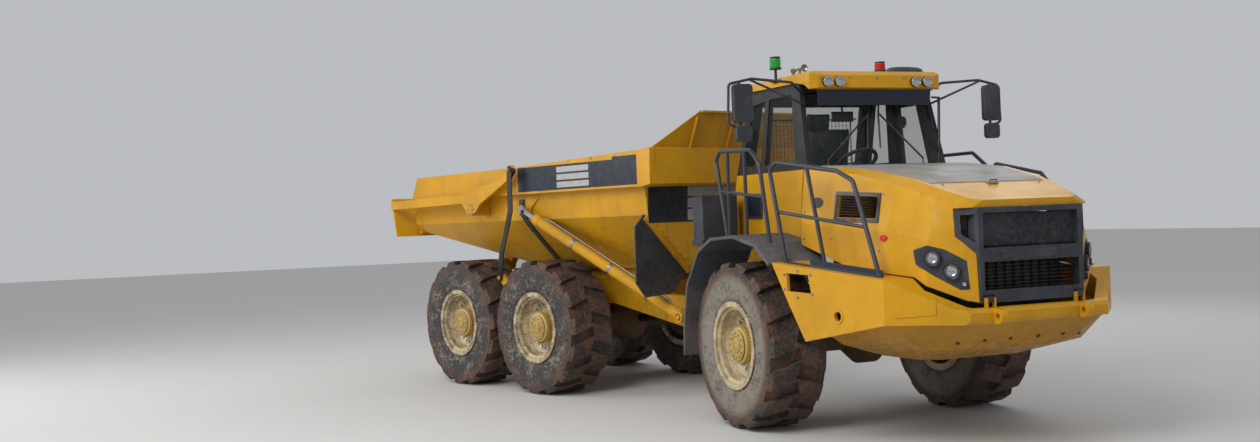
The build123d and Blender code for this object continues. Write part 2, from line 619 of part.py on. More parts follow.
# Roof lamps, the visor under them and the beacons
BEACON_FOOT_Z = 3366.0
with BuildPart() as roof_lamps:
    side_view([(300, 3270), (389, 3230), (372, 3060), (362, 3060), (374, 3190), (300, 3222)], -640, 640)
    for sign in (-1, 1):
        for lamp_y in (430, 565):
            rod((425 + FIT, sign * lamp_y, 3280), (452, sign * lamp_y, 3278), 50)
    rod((-220, -755, BEACON_FOOT_Z), (-220, -755, BEACON_FOOT_Z + 110), 14)
    rod((-220, -755, BEACON_FOOT_Z + 110), (-220, -755, BEACON_FOOT_Z + 230), 52)
    block((-280, -160), (-790, -700), (BEACON_FOOT_Z - 20, BEACON_FOOT_Z))
    rod((0, 320, 3423), (0, 320, 3530), 52)
    add(cab_roof.part, mode=Mode.SUBTRACT)
write("roof_lamps", roof_lamps.part, FRONT_PLACE)

# Hood: lofted sections, hollow, open below and behind
# Columns: x, half width and height of the lower edge, the crease, the shoulder, and the crown's height
HOOD_SECTIONS = (
    (HOOD_REAR_X, 1010, 1745, 1010, 1950, 950, 2440, 2470),
    (1350, 1000, 1561, 985, 1890, 860, 2360, 2400),
    (1900, 960, 1507, 940, 1850, 790, 2240, 2290),
    (2180, 876, 1480, 849, 1801, 734, 2149, 2206),
    (2300, 840, 1407, 810, 1780, 710, 2110, 2170),
    (2500, 600, 1284, 600, 1700, 640, 2045, 2105),
    (2560, 520, 1268, 520, 1660, 560, 2030, 2090),
)
CROWN_INSET = 110.0


def hood_form(inset, mode):
    """Loft the hood's outer form, drawn in by an inset."""
    sections = []
    last = len(HOOD_SECTIONS) - 1
    for index, section in enumerate(HOOD_SECTIONS):
        x, low_half, low_z, crease_half, crease_z, half, shoulder_z, crown_z = section
        shift = inset if index == last else (-inset if index == 0 else 0)
        side = [
            (low_half - inset, low_z - inset),
            (crease_half - inset, crease_z),
            (half - inset, shoulder_z - inset),
            (half - CROWN_INSET - inset, crown_z - inset),
        ]
        with BuildSketch(Plane.YZ.offset(x - shift)) as section:
            with BuildLine():
                Polyline(*side, *[(-y, z) for y, z in reversed(side)], close=True)
            make_face()
        sections.append(section.sketch)
    loft(sections, ruled=True, mode=mode)


GRILLE_OUTLINE = [(520, 1262), (530, 1660), (655, 1800), (660, 2030)]
LAMP_OUTLINE = [(-258, 141), (-146, 178), (-5, 141), (168, 44), (186, -184), (112, -190), (-96, -71),
                (-240, 25)]
# Columns: distance along the lamp's face, height and radius of each round lamp
LAMP_ROUNDS = ((-102, 71, 66), (48, -37, 68), (142, -140, 28))


def lamp_plane(sign):
    """Plane of a headlamp's face at the hood's swept corner."""
    return Plane(origin=(2400, sign * 720, 1560), x_dir=(-sign * 0.664, 0.747, 0),
                 z_dir=(0.747, sign * 0.664, 0))


with BuildPart() as hood:
    hood_form(0, Mode.ADD)
    hood_form(HOOD_WALL, Mode.SUBTRACT)
    front_view(GRILLE_OUTLINE + [(-y, z) for y, z in reversed(GRILLE_OUTLINE)], 2380, 2700, Mode.SUBTRACT)
    for sign in (-1, 1):
        low, high = sorted((sign * 700, sign * 1100))
        side_view([(1180, 1990), (1160, 2180), (1680, 2150), (1720, 1970)], low, high, Mode.SUBTRACT)
        prism([(-sign * u, v) for u, v in LAMP_OUTLINE], lamp_plane(sign).offset(-140), 240, Mode.SUBTRACT)
write("hood", hood.part, FRONT_PLACE)

# Grille: frame with a crossbar, two side vents and slats behind the upper opening
with BuildPart() as grille:
    outline = [(y - 2, z - 1) for y, z in GRILLE_OUTLINE]
    front_view(outline + [(-y, z) for y, z in reversed(outline)], 2380, 2590)
    plan_view([(2440, 665), (2580, 525), (2590, 400), (2590, -400), (2580, -525), (2440, -665),
               (2390, -665), (2500, -500), (2500, 500), (2390, 665)], 1200, 2100, Mode.INTERSECT)
    for low_z, high_z in ((1360, 1592), (1700, 1985)):
        front_view([(-480, low_z), (-480, high_z), (480, high_z), (480, low_z)], 2300, 2700, Mode.SUBTRACT)
    for sign in (-1, 1):
        front_view([(sign * 540, 1740), (sign * 540, 1975), (sign * 625, 1975), (sign * 620, 1820)],
                   2300, 2700, Mode.SUBTRACT)
    with Locations((2520, 0, 1850)):
        Box(14, 962, 252)
    hinge_half = 24.0
    for sign in (-1, 1):
        block((HOOD_HINGE_X - 30, HOOD_HINGE_X + 40), (sign * 450 - 52, sign * 450 + 52),
              (HOOD_HINGE_Z - 50, HOOD_HINGE_Z + 36), Mode.SUBTRACT)
        block((2520, HOOD_HINGE_X + 18), (sign * 450 - hinge_half, sign * 450 + hinge_half),
              (HOOD_HINGE_Z - 22, HOOD_HINGE_Z + 22))
        rod((HOOD_HINGE_X, sign * 450 - 40, HOOD_HINGE_Z), (HOOD_HINGE_X, sign * 450 + 40, HOOD_HINGE_Z),
            10 + FIT, Mode.SUBTRACT)
write("grille", grille.part, FRONT_PLACE)

with BuildPart() as headlamps:
    for sign in (-1, 1):
        face = [(-sign * u * 0.997, v * 0.997) for u, v in LAMP_OUTLINE]
        prism(face, lamp_plane(sign).offset(-60), 45)
        with BuildSketch(lamp_plane(sign).offset(-15)) as bezels:
            for u, v, radius in LAMP_ROUNDS:
                with Locations((-sign * u, v)):
                    Circle(radius)
        extrude(bezels.sketch, amount=18)
write("headlamps", headlamps.part, FRONT_PLACE)

# Handrails: two hoops a side, each with a lower rail, as (x, y, z) points along the walkway
RAIL_RADIUS = 20.0
RAIL_BEND = 70.0
HOOPS = (
    ([(-350, -1284, 1800), (-555, -1284, 2600), (-470, -1284, 2680), (180, -1284, 2655),
      (350, -1284, 2520), (507, -1284, 1755)], [(-470, -1284, 2285), (393, -1284, 2205)]),
    ([(852, -1315, 1580), (600, -1315, 2450), (700, -1300, 2512), (1460, -1130, 2392),
      (1665, -1100, 2300), (2008, -1085, 1465)], [(716, -1300, 2058), (1830, -1095, 1900)]),
    ([(-553, 1459, 1720), (-690, 1459, 2530), (-620, 1459, 2600), (-60, 1459, 2600),
      (150, 1459, 2460), (340, 1459, 1780)], [(-622, 1459, 2200), (220, 1459, 2200)]),
    ([(572, 1400, 1740), (300, 1420, 2400), (380, 1410, 2465), (1210, 1270, 2335),
      (1460, 1220, 2150), (1762, 1168, 1490)], [(450, 1410, 2050), (1510, 1215, 1900)]),
)
RAIL_POSTS = (
    [(-306, -1284, 1780), (-306, -1284, 2675)],
    [(54, -1284, 1780), (54, -1284, 2660)],
    [(1345, -1196, 1500), (1098, -1214, 2445)],
    [(952, 1240, 1540), (760, 1346, 2405)],
)
with BuildPart() as handrails:
    for hoop, lower_rail in HOOPS:
        tube_run(hoop, RAIL_RADIUS, RAIL_BEND)
        rod(*lower_rail, RAIL_RADIUS * 0.8)
    for post in RAIL_POSTS:
        rod(*post, RAIL_RADIUS * 0.9)
    walkway = FENDER_OUTLINE[:0:-1] + [SKIRT_PROFILE[0], SKIRT_PROFILE[1], (2180, 800), (-1070, 800)]
    side_view([(x, z + FIT) for x, z in walkway], -1500, 1500, Mode.SUBTRACT)
write("handrails", handrails.part, FRONT_PLACE)

# Mirrors on their tube arms, cut off at the cab
CAB_CLEAR = cab_form(-FIT)
for side, sign in SIDES:
    with BuildPart() as mirror_set:
        tube_run([(180, sign * 700, 3190), (270, sign * 860, 3290), (285, sign * 1300, 3320),
                  (285, sign * 1540, 3270), (285, sign * 1560, 2900), (285, sign * 1440, 2850)], 13, 40)
        rod((255, sign * 720, 3080), (285, sign * 1330, 3316), 11)
        rod((285, sign * 1430, 3300), (285, sign * 1430, 2735), 13)
        for low_z, high_z, inner, outer in ((2905, 3265, 1320, 1520), (2725, 2880, 1340, 1500)):
            with BuildSketch(Plane.YZ.offset(296)) as housing:
                with Locations((sign * (inner + outer) / 2, (low_z + high_z) / 2)):
                    RectangleRounded(outer - inner, high_z - low_z, 38)
            extrude(housing.sketch, amount=52)
        add(CAB_CLEAR, mode=Mode.SUBTRACT)
    write(f"mirror_{side}", mirror_set.part, FRONT_PLACE)

# Hitch: upright barrel and pin, and the tube whose journal lets the rear unit roll
with BuildPart() as hitch:
    rod((HITCH_X, 0, HITCH_Z - HITCH_BARREL_HALF), (HITCH_X, 0, HITCH_Z + HITCH_BARREL_HALF), 150)
    rod((HITCH_X, 0, LUG_LOW - HITCH_LUG_THICK - 10), (HITCH_X, 0, LUG_HIGH + HITCH_LUG_THICK + 10),
        HITCH_PIN_RADIUS)
    rod((HITCH_X, 0, HITCH_Z), (JOURNAL_FRONT_X + RUNNING_GAP, 0, HITCH_Z), HITCH_TUBE_RADIUS)
    rod((HITCH_X, 0, HITCH_Z), (JOURNAL_REAR_X - RUNNING_GAP, 0, HITCH_Z), JOURNAL_RADIUS)
    rod((JOURNAL_REAR_X - RUNNING_GAP, 0, HITCH_Z), (JOURNAL_REAR_X - 38, 0, HITCH_Z), HITCH_TUBE_RADIUS)
    arm_low = STEER_EYE[2] + STEER_EYE_HALF + RUNNING_GAP
    for sign in (-1, 1):
        prism([(HITCH_X - 90, sign * 90), (HITCH_X + 60, sign * 120),
               (STEER_EYE[0] + 55, sign * (STEER_EYE[1] + 45)),
               (STEER_EYE[0] - 55, sign * (STEER_EYE[1] + 45)), (STEER_EYE[0] - 70, sign * 90)],
              Plane.XY.offset(arm_low), 45)
write("hitch", hitch.part, REAR_PLACE)

# Rear frame: nose with the roll bearing, two rails, crossmembers, lugs and brackets
REAR_RAIL_INNER = REAR_RAIL_OUTER - REAR_RAIL_THICK
REAR_RAIL_SIDE = [
    (-1880, 1150), (-2740, 1160), (-3230, REAR_RAIL_TOP), (REAR_FRAME_END_X + 60, REAR_RAIL_TOP),
    (REAR_FRAME_END_X, 1230), (REAR_FRAME_END_X, 1060), (-3680, 1040), (-2390, 790), (-1880, 830),
]
STRAP_FOOT_Y = 1252.0
STRAP_PIN_RADIUS = 22.0
with BuildPart() as rear_frame:
    for sign in (-1, 1):
        low, high = sorted((sign * REAR_RAIL_INNER, sign * REAR_RAIL_OUTER))
        side_view(REAR_RAIL_SIDE, low, high)
        for x in REAR_AXLES_X:
            block((x - 90, x + 90), (low, high), (HUB_HEIGHT, 1100))
        with BuildSketch(Plane.XZ.offset(-high)) as tip_lug:
            with BuildLine():
                Polyline((TIP_X - 200, REAR_RAIL_TOP - 10), (TIP_X - 80, TIP_Z), (TIP_X + 80, TIP_Z),
                         (TIP_X + 200, REAR_RAIL_TOP - 10), close=True)
            make_face()
            with Locations((TIP_X, TIP_Z)):
                Circle(80)
        extrude(tip_lug.sketch, amount=REAR_RAIL_THICK)
        base_x, base_y, base_z = HOIST_BASE
        low, high = sorted((sign * REAR_RAIL_OUTER, sign * (base_y - HOIST_BARREL_RADIUS - RUNNING_GAP)))
        block((base_x - 90, base_x + 90), (low, high), (base_z - 90, base_z + 90))
        rod((base_x, sign * (REAR_RAIL_OUTER + 50), base_z),
            (base_x, sign * (base_y + HOIST_BARREL_RADIUS + 8), base_z), HOIST_PIN_RADIUS)
        with Locations((base_x, sign * base_y, base_z)):
            Sphere(HOIST_BALL_RADIUS)
        strap_low, strap_high = sorted((sign * REAR_RAIL_OUTER, sign * 1235))
        block((BEAM_MIDDLE_X - 55, BEAM_MIDDLE_X + 55), (strap_low, strap_high), (1230, 1310))
        strap_low, strap_high = sorted((sign * 1195, sign * 1235))
        foot_x, foot_z = STRAP_FOOT
        side_view([(BEAM_MIDDLE_X - 55, 1230), (BEAM_MIDDLE_X + 55, 1230), (BEAM_MIDDLE_X + 20, 1310),
                   (foot_x + 50, foot_z + 45), (foot_x - 45, foot_z + 45), (foot_x - 45, foot_z - 20)],
                  strap_low, strap_high)
        rod((foot_x, sign * 1200, foot_z), (foot_x, sign * (STRAP_FOOT_Y + 18), foot_z), STRAP_PIN_RADIUS)
    block((-1960, -1880), (-REAR_RAIL_OUTER, REAR_RAIL_OUTER), (830, 1150))
    rod((JOURNAL_FRONT_X, 0, HITCH_Z), (JOURNAL_REAR_X, 0, HITCH_Z), 215)
    for cross_x, low_z, high_z in ((-3400, 1060, 1290), (-5100, 1080, 1300),
                                   (REAR_FRAME_END_X + 40, 1080, 1290)):
        block((cross_x, cross_x + 110), (-REAR_RAIL_OUTER, REAR_RAIL_OUTER), (low_z, high_z))
    rod((JOURNAL_FRONT_X + 1, 0, HITCH_Z), (JOURNAL_REAR_X - 1, 0, HITCH_Z), JOURNAL_RADIUS + FIT,
        Mode.SUBTRACT)
    for x in REAR_AXLES_X:
        rod((x, -700, HUB_HEIGHT), (x, 700, HUB_HEIGHT), AXLE_TUBE_RADIUS + FIT, Mode.SUBTRACT)
    rod((TIP_X, -700, TIP_Z), (TIP_X, 700, TIP_Z), 42 + FIT, Mode.SUBTRACT)
write("rear_frame", rear_frame.part, REAR_PLACE)

# Walking beams that share the load between the two rear axles
with BuildPart() as beams:
    for sign in (-1, 1):
        low, high = sorted((sign * (REAR_RAIL_OUTER + 20), sign * (REAR_RAIL_OUTER + 120)))
        side_view([(REAR_AXLES_X[0] + 110, HUB_HEIGHT - 60), (REAR_AXLES_X[0] + 110, HUB_HEIGHT + 60),
                   (BEAM_MIDDLE_X + 200, HUB_HEIGHT + 190), (BEAM_MIDDLE_X - 200, HUB_HEIGHT + 190),
                   (REAR_AXLES_X[1] - 110, HUB_HEIGHT + 60), (REAR_AXLES_X[1] - 110, HUB_HEIGHT - 60),
                   (BEAM_MIDDLE_X - 200, HUB_HEIGHT - 30), (BEAM_MIDDLE_X + 200, HUB_HEIGHT - 30)], low, high)
    for x in REAR_AXLES_X:
        rod((x, -800, HUB_HEIGHT), (x, 800, HUB_HEIGHT), AXLE_TUBE_RADIUS + FIT, Mode.SUBTRACT)
write("walking_beams", beams.part, REAR_PLACE)

# Bin: floor, front wall, sloped sides and the boxed band along the top
BIN_SIDE = [
    (-2120, BIN_FLOOR_Z), (-2200, 2050), (-2180, 2380), (-2010, 2790), (-4430, 2715), (-6740, 2700),
    (-7120, 2010), (-6750, 1920), (-4850, BIN_FLOOR_Z),
]
BIN_SECTION = [(700, BIN_FLOOR_Z), (1300, 2080), (1350, BAND_BOTTOM_Z), (BIN_HALF, BAND_BOTTOM_Z),
               (BIN_HALF, 2800)]
BIN_INSIDE_SIDE = [
    (-2145, BIN_FLOOR_Z + BIN_WALL), (-2225, 2050), (-2205, 2385), (-2020, 2850), (-7300, 2850),
    (-7300, 2080), (-6755, 1943), (-4853, BIN_FLOOR_Z + BIN_WALL),
]
BIN_INSIDE_SECTION = [(690, BIN_FLOOR_Z), (1278, 2086), (1328, BAND_BOTTOM_Z), (BIN_HALF - BAND_THICK, 2430),
                      (BIN_HALF - BAND_THICK, 2850)]


def both_halves(half):
    """Close an outline of (y, z) points, given for y > 0, with its mirror image."""
    return half + [(-y, z) for y, z in reversed(half)]


with BuildPart() as bin_space:
    side_view(BIN_INSIDE_SIDE, -1500, 1500)
    front_view(both_halves(BIN_INSIDE_SECTION), -7400, -1500, Mode.INTERSECT)
with BuildPart() as bin_shell:
    side_view(BIN_SIDE, -1500, 1500)
    front_view(both_halves(BIN_SECTION), -7400, -1500, Mode.INTERSECT)
    add(bin_space.part, mode=Mode.SUBTRACT)
    for sign in (-1, 1):
        low, high = sorted((sign * 480, sign * 590))
        side_view([(-2300, BIN_FLOOR_Z + 5), (-2800, REAR_RAIL_TOP + FIT), (-5500, REAR_RAIL_TOP + FIT),
                   (-5500, BIN_FLOOR_Z + 150), (-4850, BIN_FLOOR_Z + 5)], low, high)
        low, high = sorted((sign * 360, sign * (REAR_RAIL_INNER - RUNNING_GAP)))
        with BuildSketch(Plane.XZ.offset(-high)) as bin_lug:
            with BuildLine():
                Polyline((TIP_X - 80, TIP_Z), (TIP_X - 220, 1795), (TIP_X + 260, 1690),
                         (TIP_X + 80, TIP_Z), close=True)
            make_face()
            with Locations((TIP_X, TIP_Z)):
                Circle(80)
        extrude(bin_lug.sketch, amount=high - low)
        rod((TIP_X, sign * 400, TIP_Z), (TIP_X, sign * (REAR_RAIL_OUTER + 6), TIP_Z), 42)
        low, high = sorted((sign * 1330, sign * (GATE_ARM_INNER - RUNNING_GAP)))
        block((GATE_PIVOT_X - 70, GATE_PIVOT_X + 70), (low, high), (2160, BAND_BOTTOM_Z + 5))
        pin_end = GATE_ARM_INNER + GATE_ARM_THICK + 6
        rod((GATE_PIVOT_X, sign * 1400, GATE_PIVOT_Z), (GATE_PIVOT_X, sign * pin_end, GATE_PIVOT_Z), 40)
        low, high = sorted((sign * 1330, sign * HOIST_BRACKET_FACE))
        eye_x, eye_z = HOIST_EYE[0], HOIST_EYE[2]
        lug_top = BAND_BOTTOM_Z + 2
        side_view([(eye_x - 555, lug_top), (eye_x + 225, lug_top), (eye_x + 225, lug_top - 52),
                   (eye_x + 75, eye_z + 41), (eye_x + 25, eye_z - 59), (eye_x - 85, eye_z - 59)], low, high)
        flange_low, flange_high = -2221.7, -2190
        front_view([(sign * 690, 1475), (sign * 1300, 2085), (sign * 1352, 2035), (sign * 745, 1425)],
                   flange_low, flange_high)
    block((-7080, -7020), (-1240, 1240), (1960, 2010))
write("bin", bin_shell.part, REAR_PLACE)

# Headboard: the boxed beam across the bin's front and the spill plate above it, with ribs
SPILL_TOP_Z = 3190.0
SPILL_TOP_HALF = 800.0
with BuildPart() as spill:
    side_view([(-2010, 2795), (-1985, 2795), (-1825, SPILL_TOP_Z), (-1850, SPILL_TOP_Z)], -1500, 1500)
    front_view([(-1400, 2700), (-1400, 2796), (-SPILL_TOP_HALF, SPILL_TOP_Z), (SPILL_TOP_HALF, SPILL_TOP_Z),
                (1400, 2796), (1400, 2700)], -2100, -1700, Mode.INTERSECT)
with BuildPart() as headboard:
    side_view([(-2180 + 2, 2382), (-2160, 2382), (-1970, 2410), (-1960, 2790), (-1970, 2800), (-2008, 2794)],
              -BIN_HALF, BIN_HALF)
    add(spill.part)
    for rib_y in (-850, -300, 300, 850):
        side_view([(-1985, 2798), (-1962, 2798), (-1815, 3120), (-1850, 3120)], rib_y - 10, rib_y + 10)
    side_view([(-1855, SPILL_TOP_Z - 22), (-1800, SPILL_TOP_Z - 22), (-1800, SPILL_TOP_Z),
               (-1855, SPILL_TOP_Z)],
              -SPILL_TOP_HALF, SPILL_TOP_HALF)
write("headboard", headboard.part, REAR_PLACE)

# Stone guards, the flaps at the bin's front corners
GUARD_OUTLINE = [(1335, 2090), (1470, 1960), (1480, 1350), (1350, 1190), (950, 1212), (740, 1460)]
with BuildPart() as guards:
    for sign in (-1, 1):
        front_view([(sign * y, z) for y, z in GUARD_OUTLINE], -2240, -2222)
write("stone_guards", guards.part, REAR_PLACE)

# Tailgate: plate across the rear and two arms along the sides
STRAP_Y = GATE_ARM_INNER + GATE_ARM_THICK + 12
GATE_ARM = [
    (-7262, 2404), (-5480, 2428), (-4560, 2600), (-4475, 2680), (-4430, 2748), (-4350, 2738), (-4320, 2665),
    (-4400, 2588), (-5077, 2298), (-5180, 2200), (-5276, 2168), (-5365, 2195), (-5490, 2318), (-7262, 2292),
]
with BuildPart() as tailgate:
    for sign in (-1, 1):
        low, high = sorted((sign * GATE_ARM_INNER, sign * (GATE_ARM_INNER + GATE_ARM_THICK)))
        side_view(GATE_ARM, low, high)
        rod((GATE_PIVOT_X, low, GATE_PIVOT_Z), (GATE_PIVOT_X, high, GATE_PIVOT_Z), 40 + FIT, Mode.SUBTRACT)
        head_x, head_z = STRAP_HEAD
        rod((head_x, sign * (GATE_ARM_INNER + 10), head_z), (head_x, sign * (STRAP_Y + 22), head_z),
            STRAP_PIN_RADIUS)
    side_view([(-7150, 1925), (-7180, 1925), (-7290, 2440), (-7262, 2440)],
              -GATE_ARM_INNER - 20, GATE_ARM_INNER + 20)
    side_view([(-7170, 1960), (-7260, 2420), (-7240, 2470), (-7215, 2440), (-7150, 1990)], -1180, 1180)
write("tailgate", tailgate.part, REAR_PLACE)

# Straps that pull the tailgate open as the bin tips, from the frame up to the arm's head
STRAP_BAND = (90.0, 14.0)
STRAP_RUN = [
    (STRAP_FOOT[0], STRAP_FOOT_Y, STRAP_FOOT[1]), (-5010, 1310, 1680), (-4640, 1480, 1955),
    (-4400, STRAP_Y, 2190),
    (STRAP_HEAD[0], STRAP_Y, STRAP_HEAD[1]),
]
for side, sign in SIDES:
    with BuildPart() as strap:
        bends = [Vector(x, sign * y, z) for x, y, z in STRAP_RUN]
        for first, last in zip(bends, bends[1:]):
            with BuildSketch(Plane(origin=first, x_dir=(0, 1, 0), z_dir=last - first)) as band:
                Rectangle(STRAP_BAND[1], STRAP_BAND[0])
            extrude(band.sketch, amount=(last - first).length)
        across = Vector(0, STRAP_BAND[1] / 2, 0)
        for bend in bends:
            rod(bend - across, bend + across, STRAP_BAND[0] / 2)
        for end in (bends[0], bends[-1]):
            rod(end - across * 1.3, end + across * 1.3, STRAP_BAND[0] / 2 - 4)
            rod(end - across * 2, end + across * 2, STRAP_PIN_RADIUS + FIT, Mode.SUBTRACT)
    write(f"strap_{side}", strap.part, REAR_PLACE)


def cylinder_pair(name, bases, eyes, barrel_radius, rod_radius, barrel_length, rod_length,
                  place, pin, bore_radius, ball_radius, eye_half, boss):
    """Write a cylinder's barrel and rod on both sides, from its base eye to its rod's eye."""
    for (side, sign), base, eye in zip(SIDES, bases, eyes):
        start, end = Vector(*base), Vector(*eye)
        line = (end - start).normalized()
        gland = start + line * barrel_length
        tail = end - line * rod_length
        with BuildPart() as barrel:
            rod(start + line * barrel_radius * 0.5, gland, barrel_radius)
            rod(gland - line * 60, gland + line * 30, barrel_radius * 1.06)
            rod(start - pin * barrel_radius, start + pin * barrel_radius, barrel_radius * 0.96)
            rod(start + line * (barrel_radius + 5), gland + line * 40, rod_radius + FIT, Mode.SUBTRACT)
            rod(start - pin * barrel_radius * 1.2, start + pin * barrel_radius * 1.2, bore_radius,
                Mode.SUBTRACT)
            with Locations(start):
                Sphere(ball_radius, mode=Mode.SUBTRACT)
        write(f"{name}_barrel_{side}", barrel.part, place)
        with BuildPart() as plunger:
            rod(tail, end, rod_radius)
            rod(end - pin * eye_half, end + pin * eye_half, rod_radius * 1.6)
            rod(end, end + boss * sign, rod_radius * 0.55)
        write(f"{name}_rod_{side}", plunger.part, place)


def both_sides(point):
    """A point given for the left side, on the right and on the left."""
    x, y, z = point
    return [(x, sign * y, z) for side, sign in SIDES]


cylinder_pair("hoist", both_sides(HOIST_BASE), both_sides(HOIST_EYE), HOIST_BARREL_RADIUS, HOIST_ROD_RADIUS,
              HOIST_CLOSED - HOIST_GLAND_ROOM, HOIST_ROD_LENGTH, REAR_PLACE, Vector(0, 1, 0),
              HOIST_PIN_RADIUS + HOIST_BALL_RELIEF, HOIST_BALL_RADIUS + FIT, HOIST_EYE_HALF,
              Vector(0, HOIST_BRACKET_FACE + 3 - HOIST_EYE[1], 0))


def parked(point):
    """Where a point of the straight rear unit stands, in the front unit's coordinates."""
    x, y, z = point
    turn = radians(PARKED_TURN)
    return (HITCH_X + (x - HITCH_X) * cos(turn) - y * sin(turn), (x - HITCH_X) * sin(turn) + y * cos(turn), z)


# Steering cylinders, each from the front frame to where the turned hitch holds its eye
STEER_EYES = [parked(eye) for eye in both_sides(STEER_EYE)]
cylinder_pair("steer", both_sides(STEER_BASE), STEER_EYES, STEER_BARREL_RADIUS, STEER_ROD_RADIUS,
              STEER_BARREL_LENGTH, STEER_ROD_LENGTH, FRONT_PLACE, Vector(0, 0, 1),
              STEER_PIN_RADIUS + FIT, STEER_PIN_RADIUS + FIT, STEER_EYE_HALF, Vector(0, 0, STEER_EYE_HALF))

# Drive shaft to the middle axle
with BuildPart() as drive_shaft:
    rod((JOURNAL_REAR_X - 42.5, 0, HITCH_Z - 40), (REAR_AXLES_X[0] + DIFF_RADIUS + 3, 0, HUB_HEIGHT + 10), 50)
    rod((REAR_AXLES_X[0] - DIFF_RADIUS - FIT, 0, HUB_HEIGHT),
        (REAR_AXLES_X[1] + DIFF_RADIUS + FIT, 0, HUB_HEIGHT), 50)
write("drive_shaft", drive_shaft.part, REAR_PLACE)

overall = Compound(children=FINISHED).bounding_box()
print("overall from", overall.min, "to", overall.max)
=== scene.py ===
"""Looks of an articulated dump truck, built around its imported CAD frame.

Metres, +X forward along the front unit, +Y to its left, +Z up. Sizes of the front unit are given from
the ground under its front axle, and those of the rear unit as if it stood in line with the front one.
"""

import logging
from dataclasses import dataclass, field
from enum import Enum
from math import cos, pi, radians, sin
from typing import Iterable, Sequence

import bmesh
import bpy
from mathutils import Matrix, Vector
from mathutils.bvhtree import BVHTree


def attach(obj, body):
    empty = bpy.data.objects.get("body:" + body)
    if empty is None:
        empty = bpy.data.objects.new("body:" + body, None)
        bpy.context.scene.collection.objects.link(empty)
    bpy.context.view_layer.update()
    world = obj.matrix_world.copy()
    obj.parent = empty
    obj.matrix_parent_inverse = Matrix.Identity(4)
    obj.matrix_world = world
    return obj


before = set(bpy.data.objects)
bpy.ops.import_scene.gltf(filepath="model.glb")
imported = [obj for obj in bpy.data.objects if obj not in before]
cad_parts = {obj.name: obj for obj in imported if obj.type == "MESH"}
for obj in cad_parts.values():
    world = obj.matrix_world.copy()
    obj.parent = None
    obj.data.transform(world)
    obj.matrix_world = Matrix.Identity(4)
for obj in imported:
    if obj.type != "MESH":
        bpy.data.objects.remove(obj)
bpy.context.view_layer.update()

LOG = logging.getLogger("truck")
Point = tuple[float, float, float]
Colour = tuple[float, float, float]
Profile = tuple[tuple[float, float], ...]
Ray = tuple[Point, Point]
Seat = tuple[Vector, Vector]

PLAN_MIDDLE = Vector((-2.3575, -0.8679, 0.0))
HITCH = Vector((-1.230, 0.0, 0.0))
PARKED_TURN = radians(17.5)
HUB_HEIGHT = 0.795
TRACK_HALF = 1.170
AXLES = {"front": 0.0, "mid": -4.180, "rear": -5.850}
SIDES = {"right": -1, "left": 1}
MERGE_DISTANCE = 1e-5


def around(count: int) -> list[float]:
    """Evenly spaced angles of a full turn."""
    return [2 * pi * k / count for k in range(count)]


# Colours of paint, rubber and dirt; the mud and clay colours also carry painted shade in hollows

YELLOW = (0.66, 0.325, 0.002)
HUB_YELLOW = (0.56, 0.38, 0.10)
NAVY = (0.012, 0.017, 0.030)
STRIPE = (0.42, 0.42, 0.41)
IRON = (0.10, 0.062, 0.034)
CREAM = (0.60, 0.49, 0.29)
WORN_CREAM = (0.46, 0.36, 0.21)
RUBBER = (0.030, 0.027, 0.026)
WORN_RUBBER = (0.065, 0.054, 0.048)
BARE_METAL = (0.10, 0.075, 0.055)
RUST = (0.09, 0.06, 0.045)
RUST_STAIN = (0.20, 0.115, 0.04)
SCUFF = (0.20, 0.19, 0.18)
PAINT_DUST = (0.26, 0.19, 0.11)
PAINT_MUD_AND_SHADE = (0.13, 0.085, 0.05)
PLASTIC_DUST = (0.27, 0.23, 0.18)
PLASTIC_MUD = (0.15, 0.095, 0.06)
OILY_GRIME = (0.12, 0.09, 0.06)
GLASS_FILM = (0.42, 0.39, 0.33)
DRIED_DUST = (0.27, 0.235, 0.19)
CLAY = (0.155, 0.078, 0.050)
WET_CLAY_AND_SHADE = (0.10, 0.058, 0.040)
RIM_MUD_AND_SHADE = (0.14, 0.095, 0.062)


class Unit(Enum):
    """The two units of the machine, whose members share one straight frame each."""

    FRONT = "front"
    REAR = "rear"

    @property
    def turn(self) -> float:
        """How far the unit is turned about the hitch as parked."""
        return PARKED_TURN if self is Unit.REAR else 0.0

    @property
    def place(self) -> Matrix:
        """Find where the unit stands as parked.

        Returns:
            The matrix from its straight frame to the parked machine.
        """
        turn = Matrix.Identity(4)
        if self is Unit.REAR:
            turn = Matrix.Rotation(PARKED_TURN, 4, "Z")
            turn = Matrix.Translation(HITCH) @ turn @ Matrix.Translation(-HITCH)
        return Matrix.Translation(-PLAN_MIDDLE) @ turn


@dataclass(frozen=True)
class Wheel:
    """One wheel, told by its axle and side."""

    axle: str
    side: str

    @property
    def name(self) -> str:
        """The wheel's name."""
        return f"{self.axle}_{self.side}"

    @property
    def sign(self) -> int:
        """1 on the left, -1 on the right."""
        return SIDES[self.side]

    @property
    def unit(self) -> Unit:
        """The unit that carries it."""
        return Unit.FRONT if self.axle == "front" else Unit.REAR

    @property
    def centre(self) -> Point:
        """The middle of its hub in the unit's straight frame."""
        return AXLES[self.axle], self.sign * TRACK_HALF, HUB_HEIGHT

    def piece(self, part: str) -> str:
        """What the record calls one of its parts."""
        return f"{self.axle}_{part}_{self.side}"


WHEELS = tuple(Wheel(axle, side) for axle in AXLES for side in SIDES)


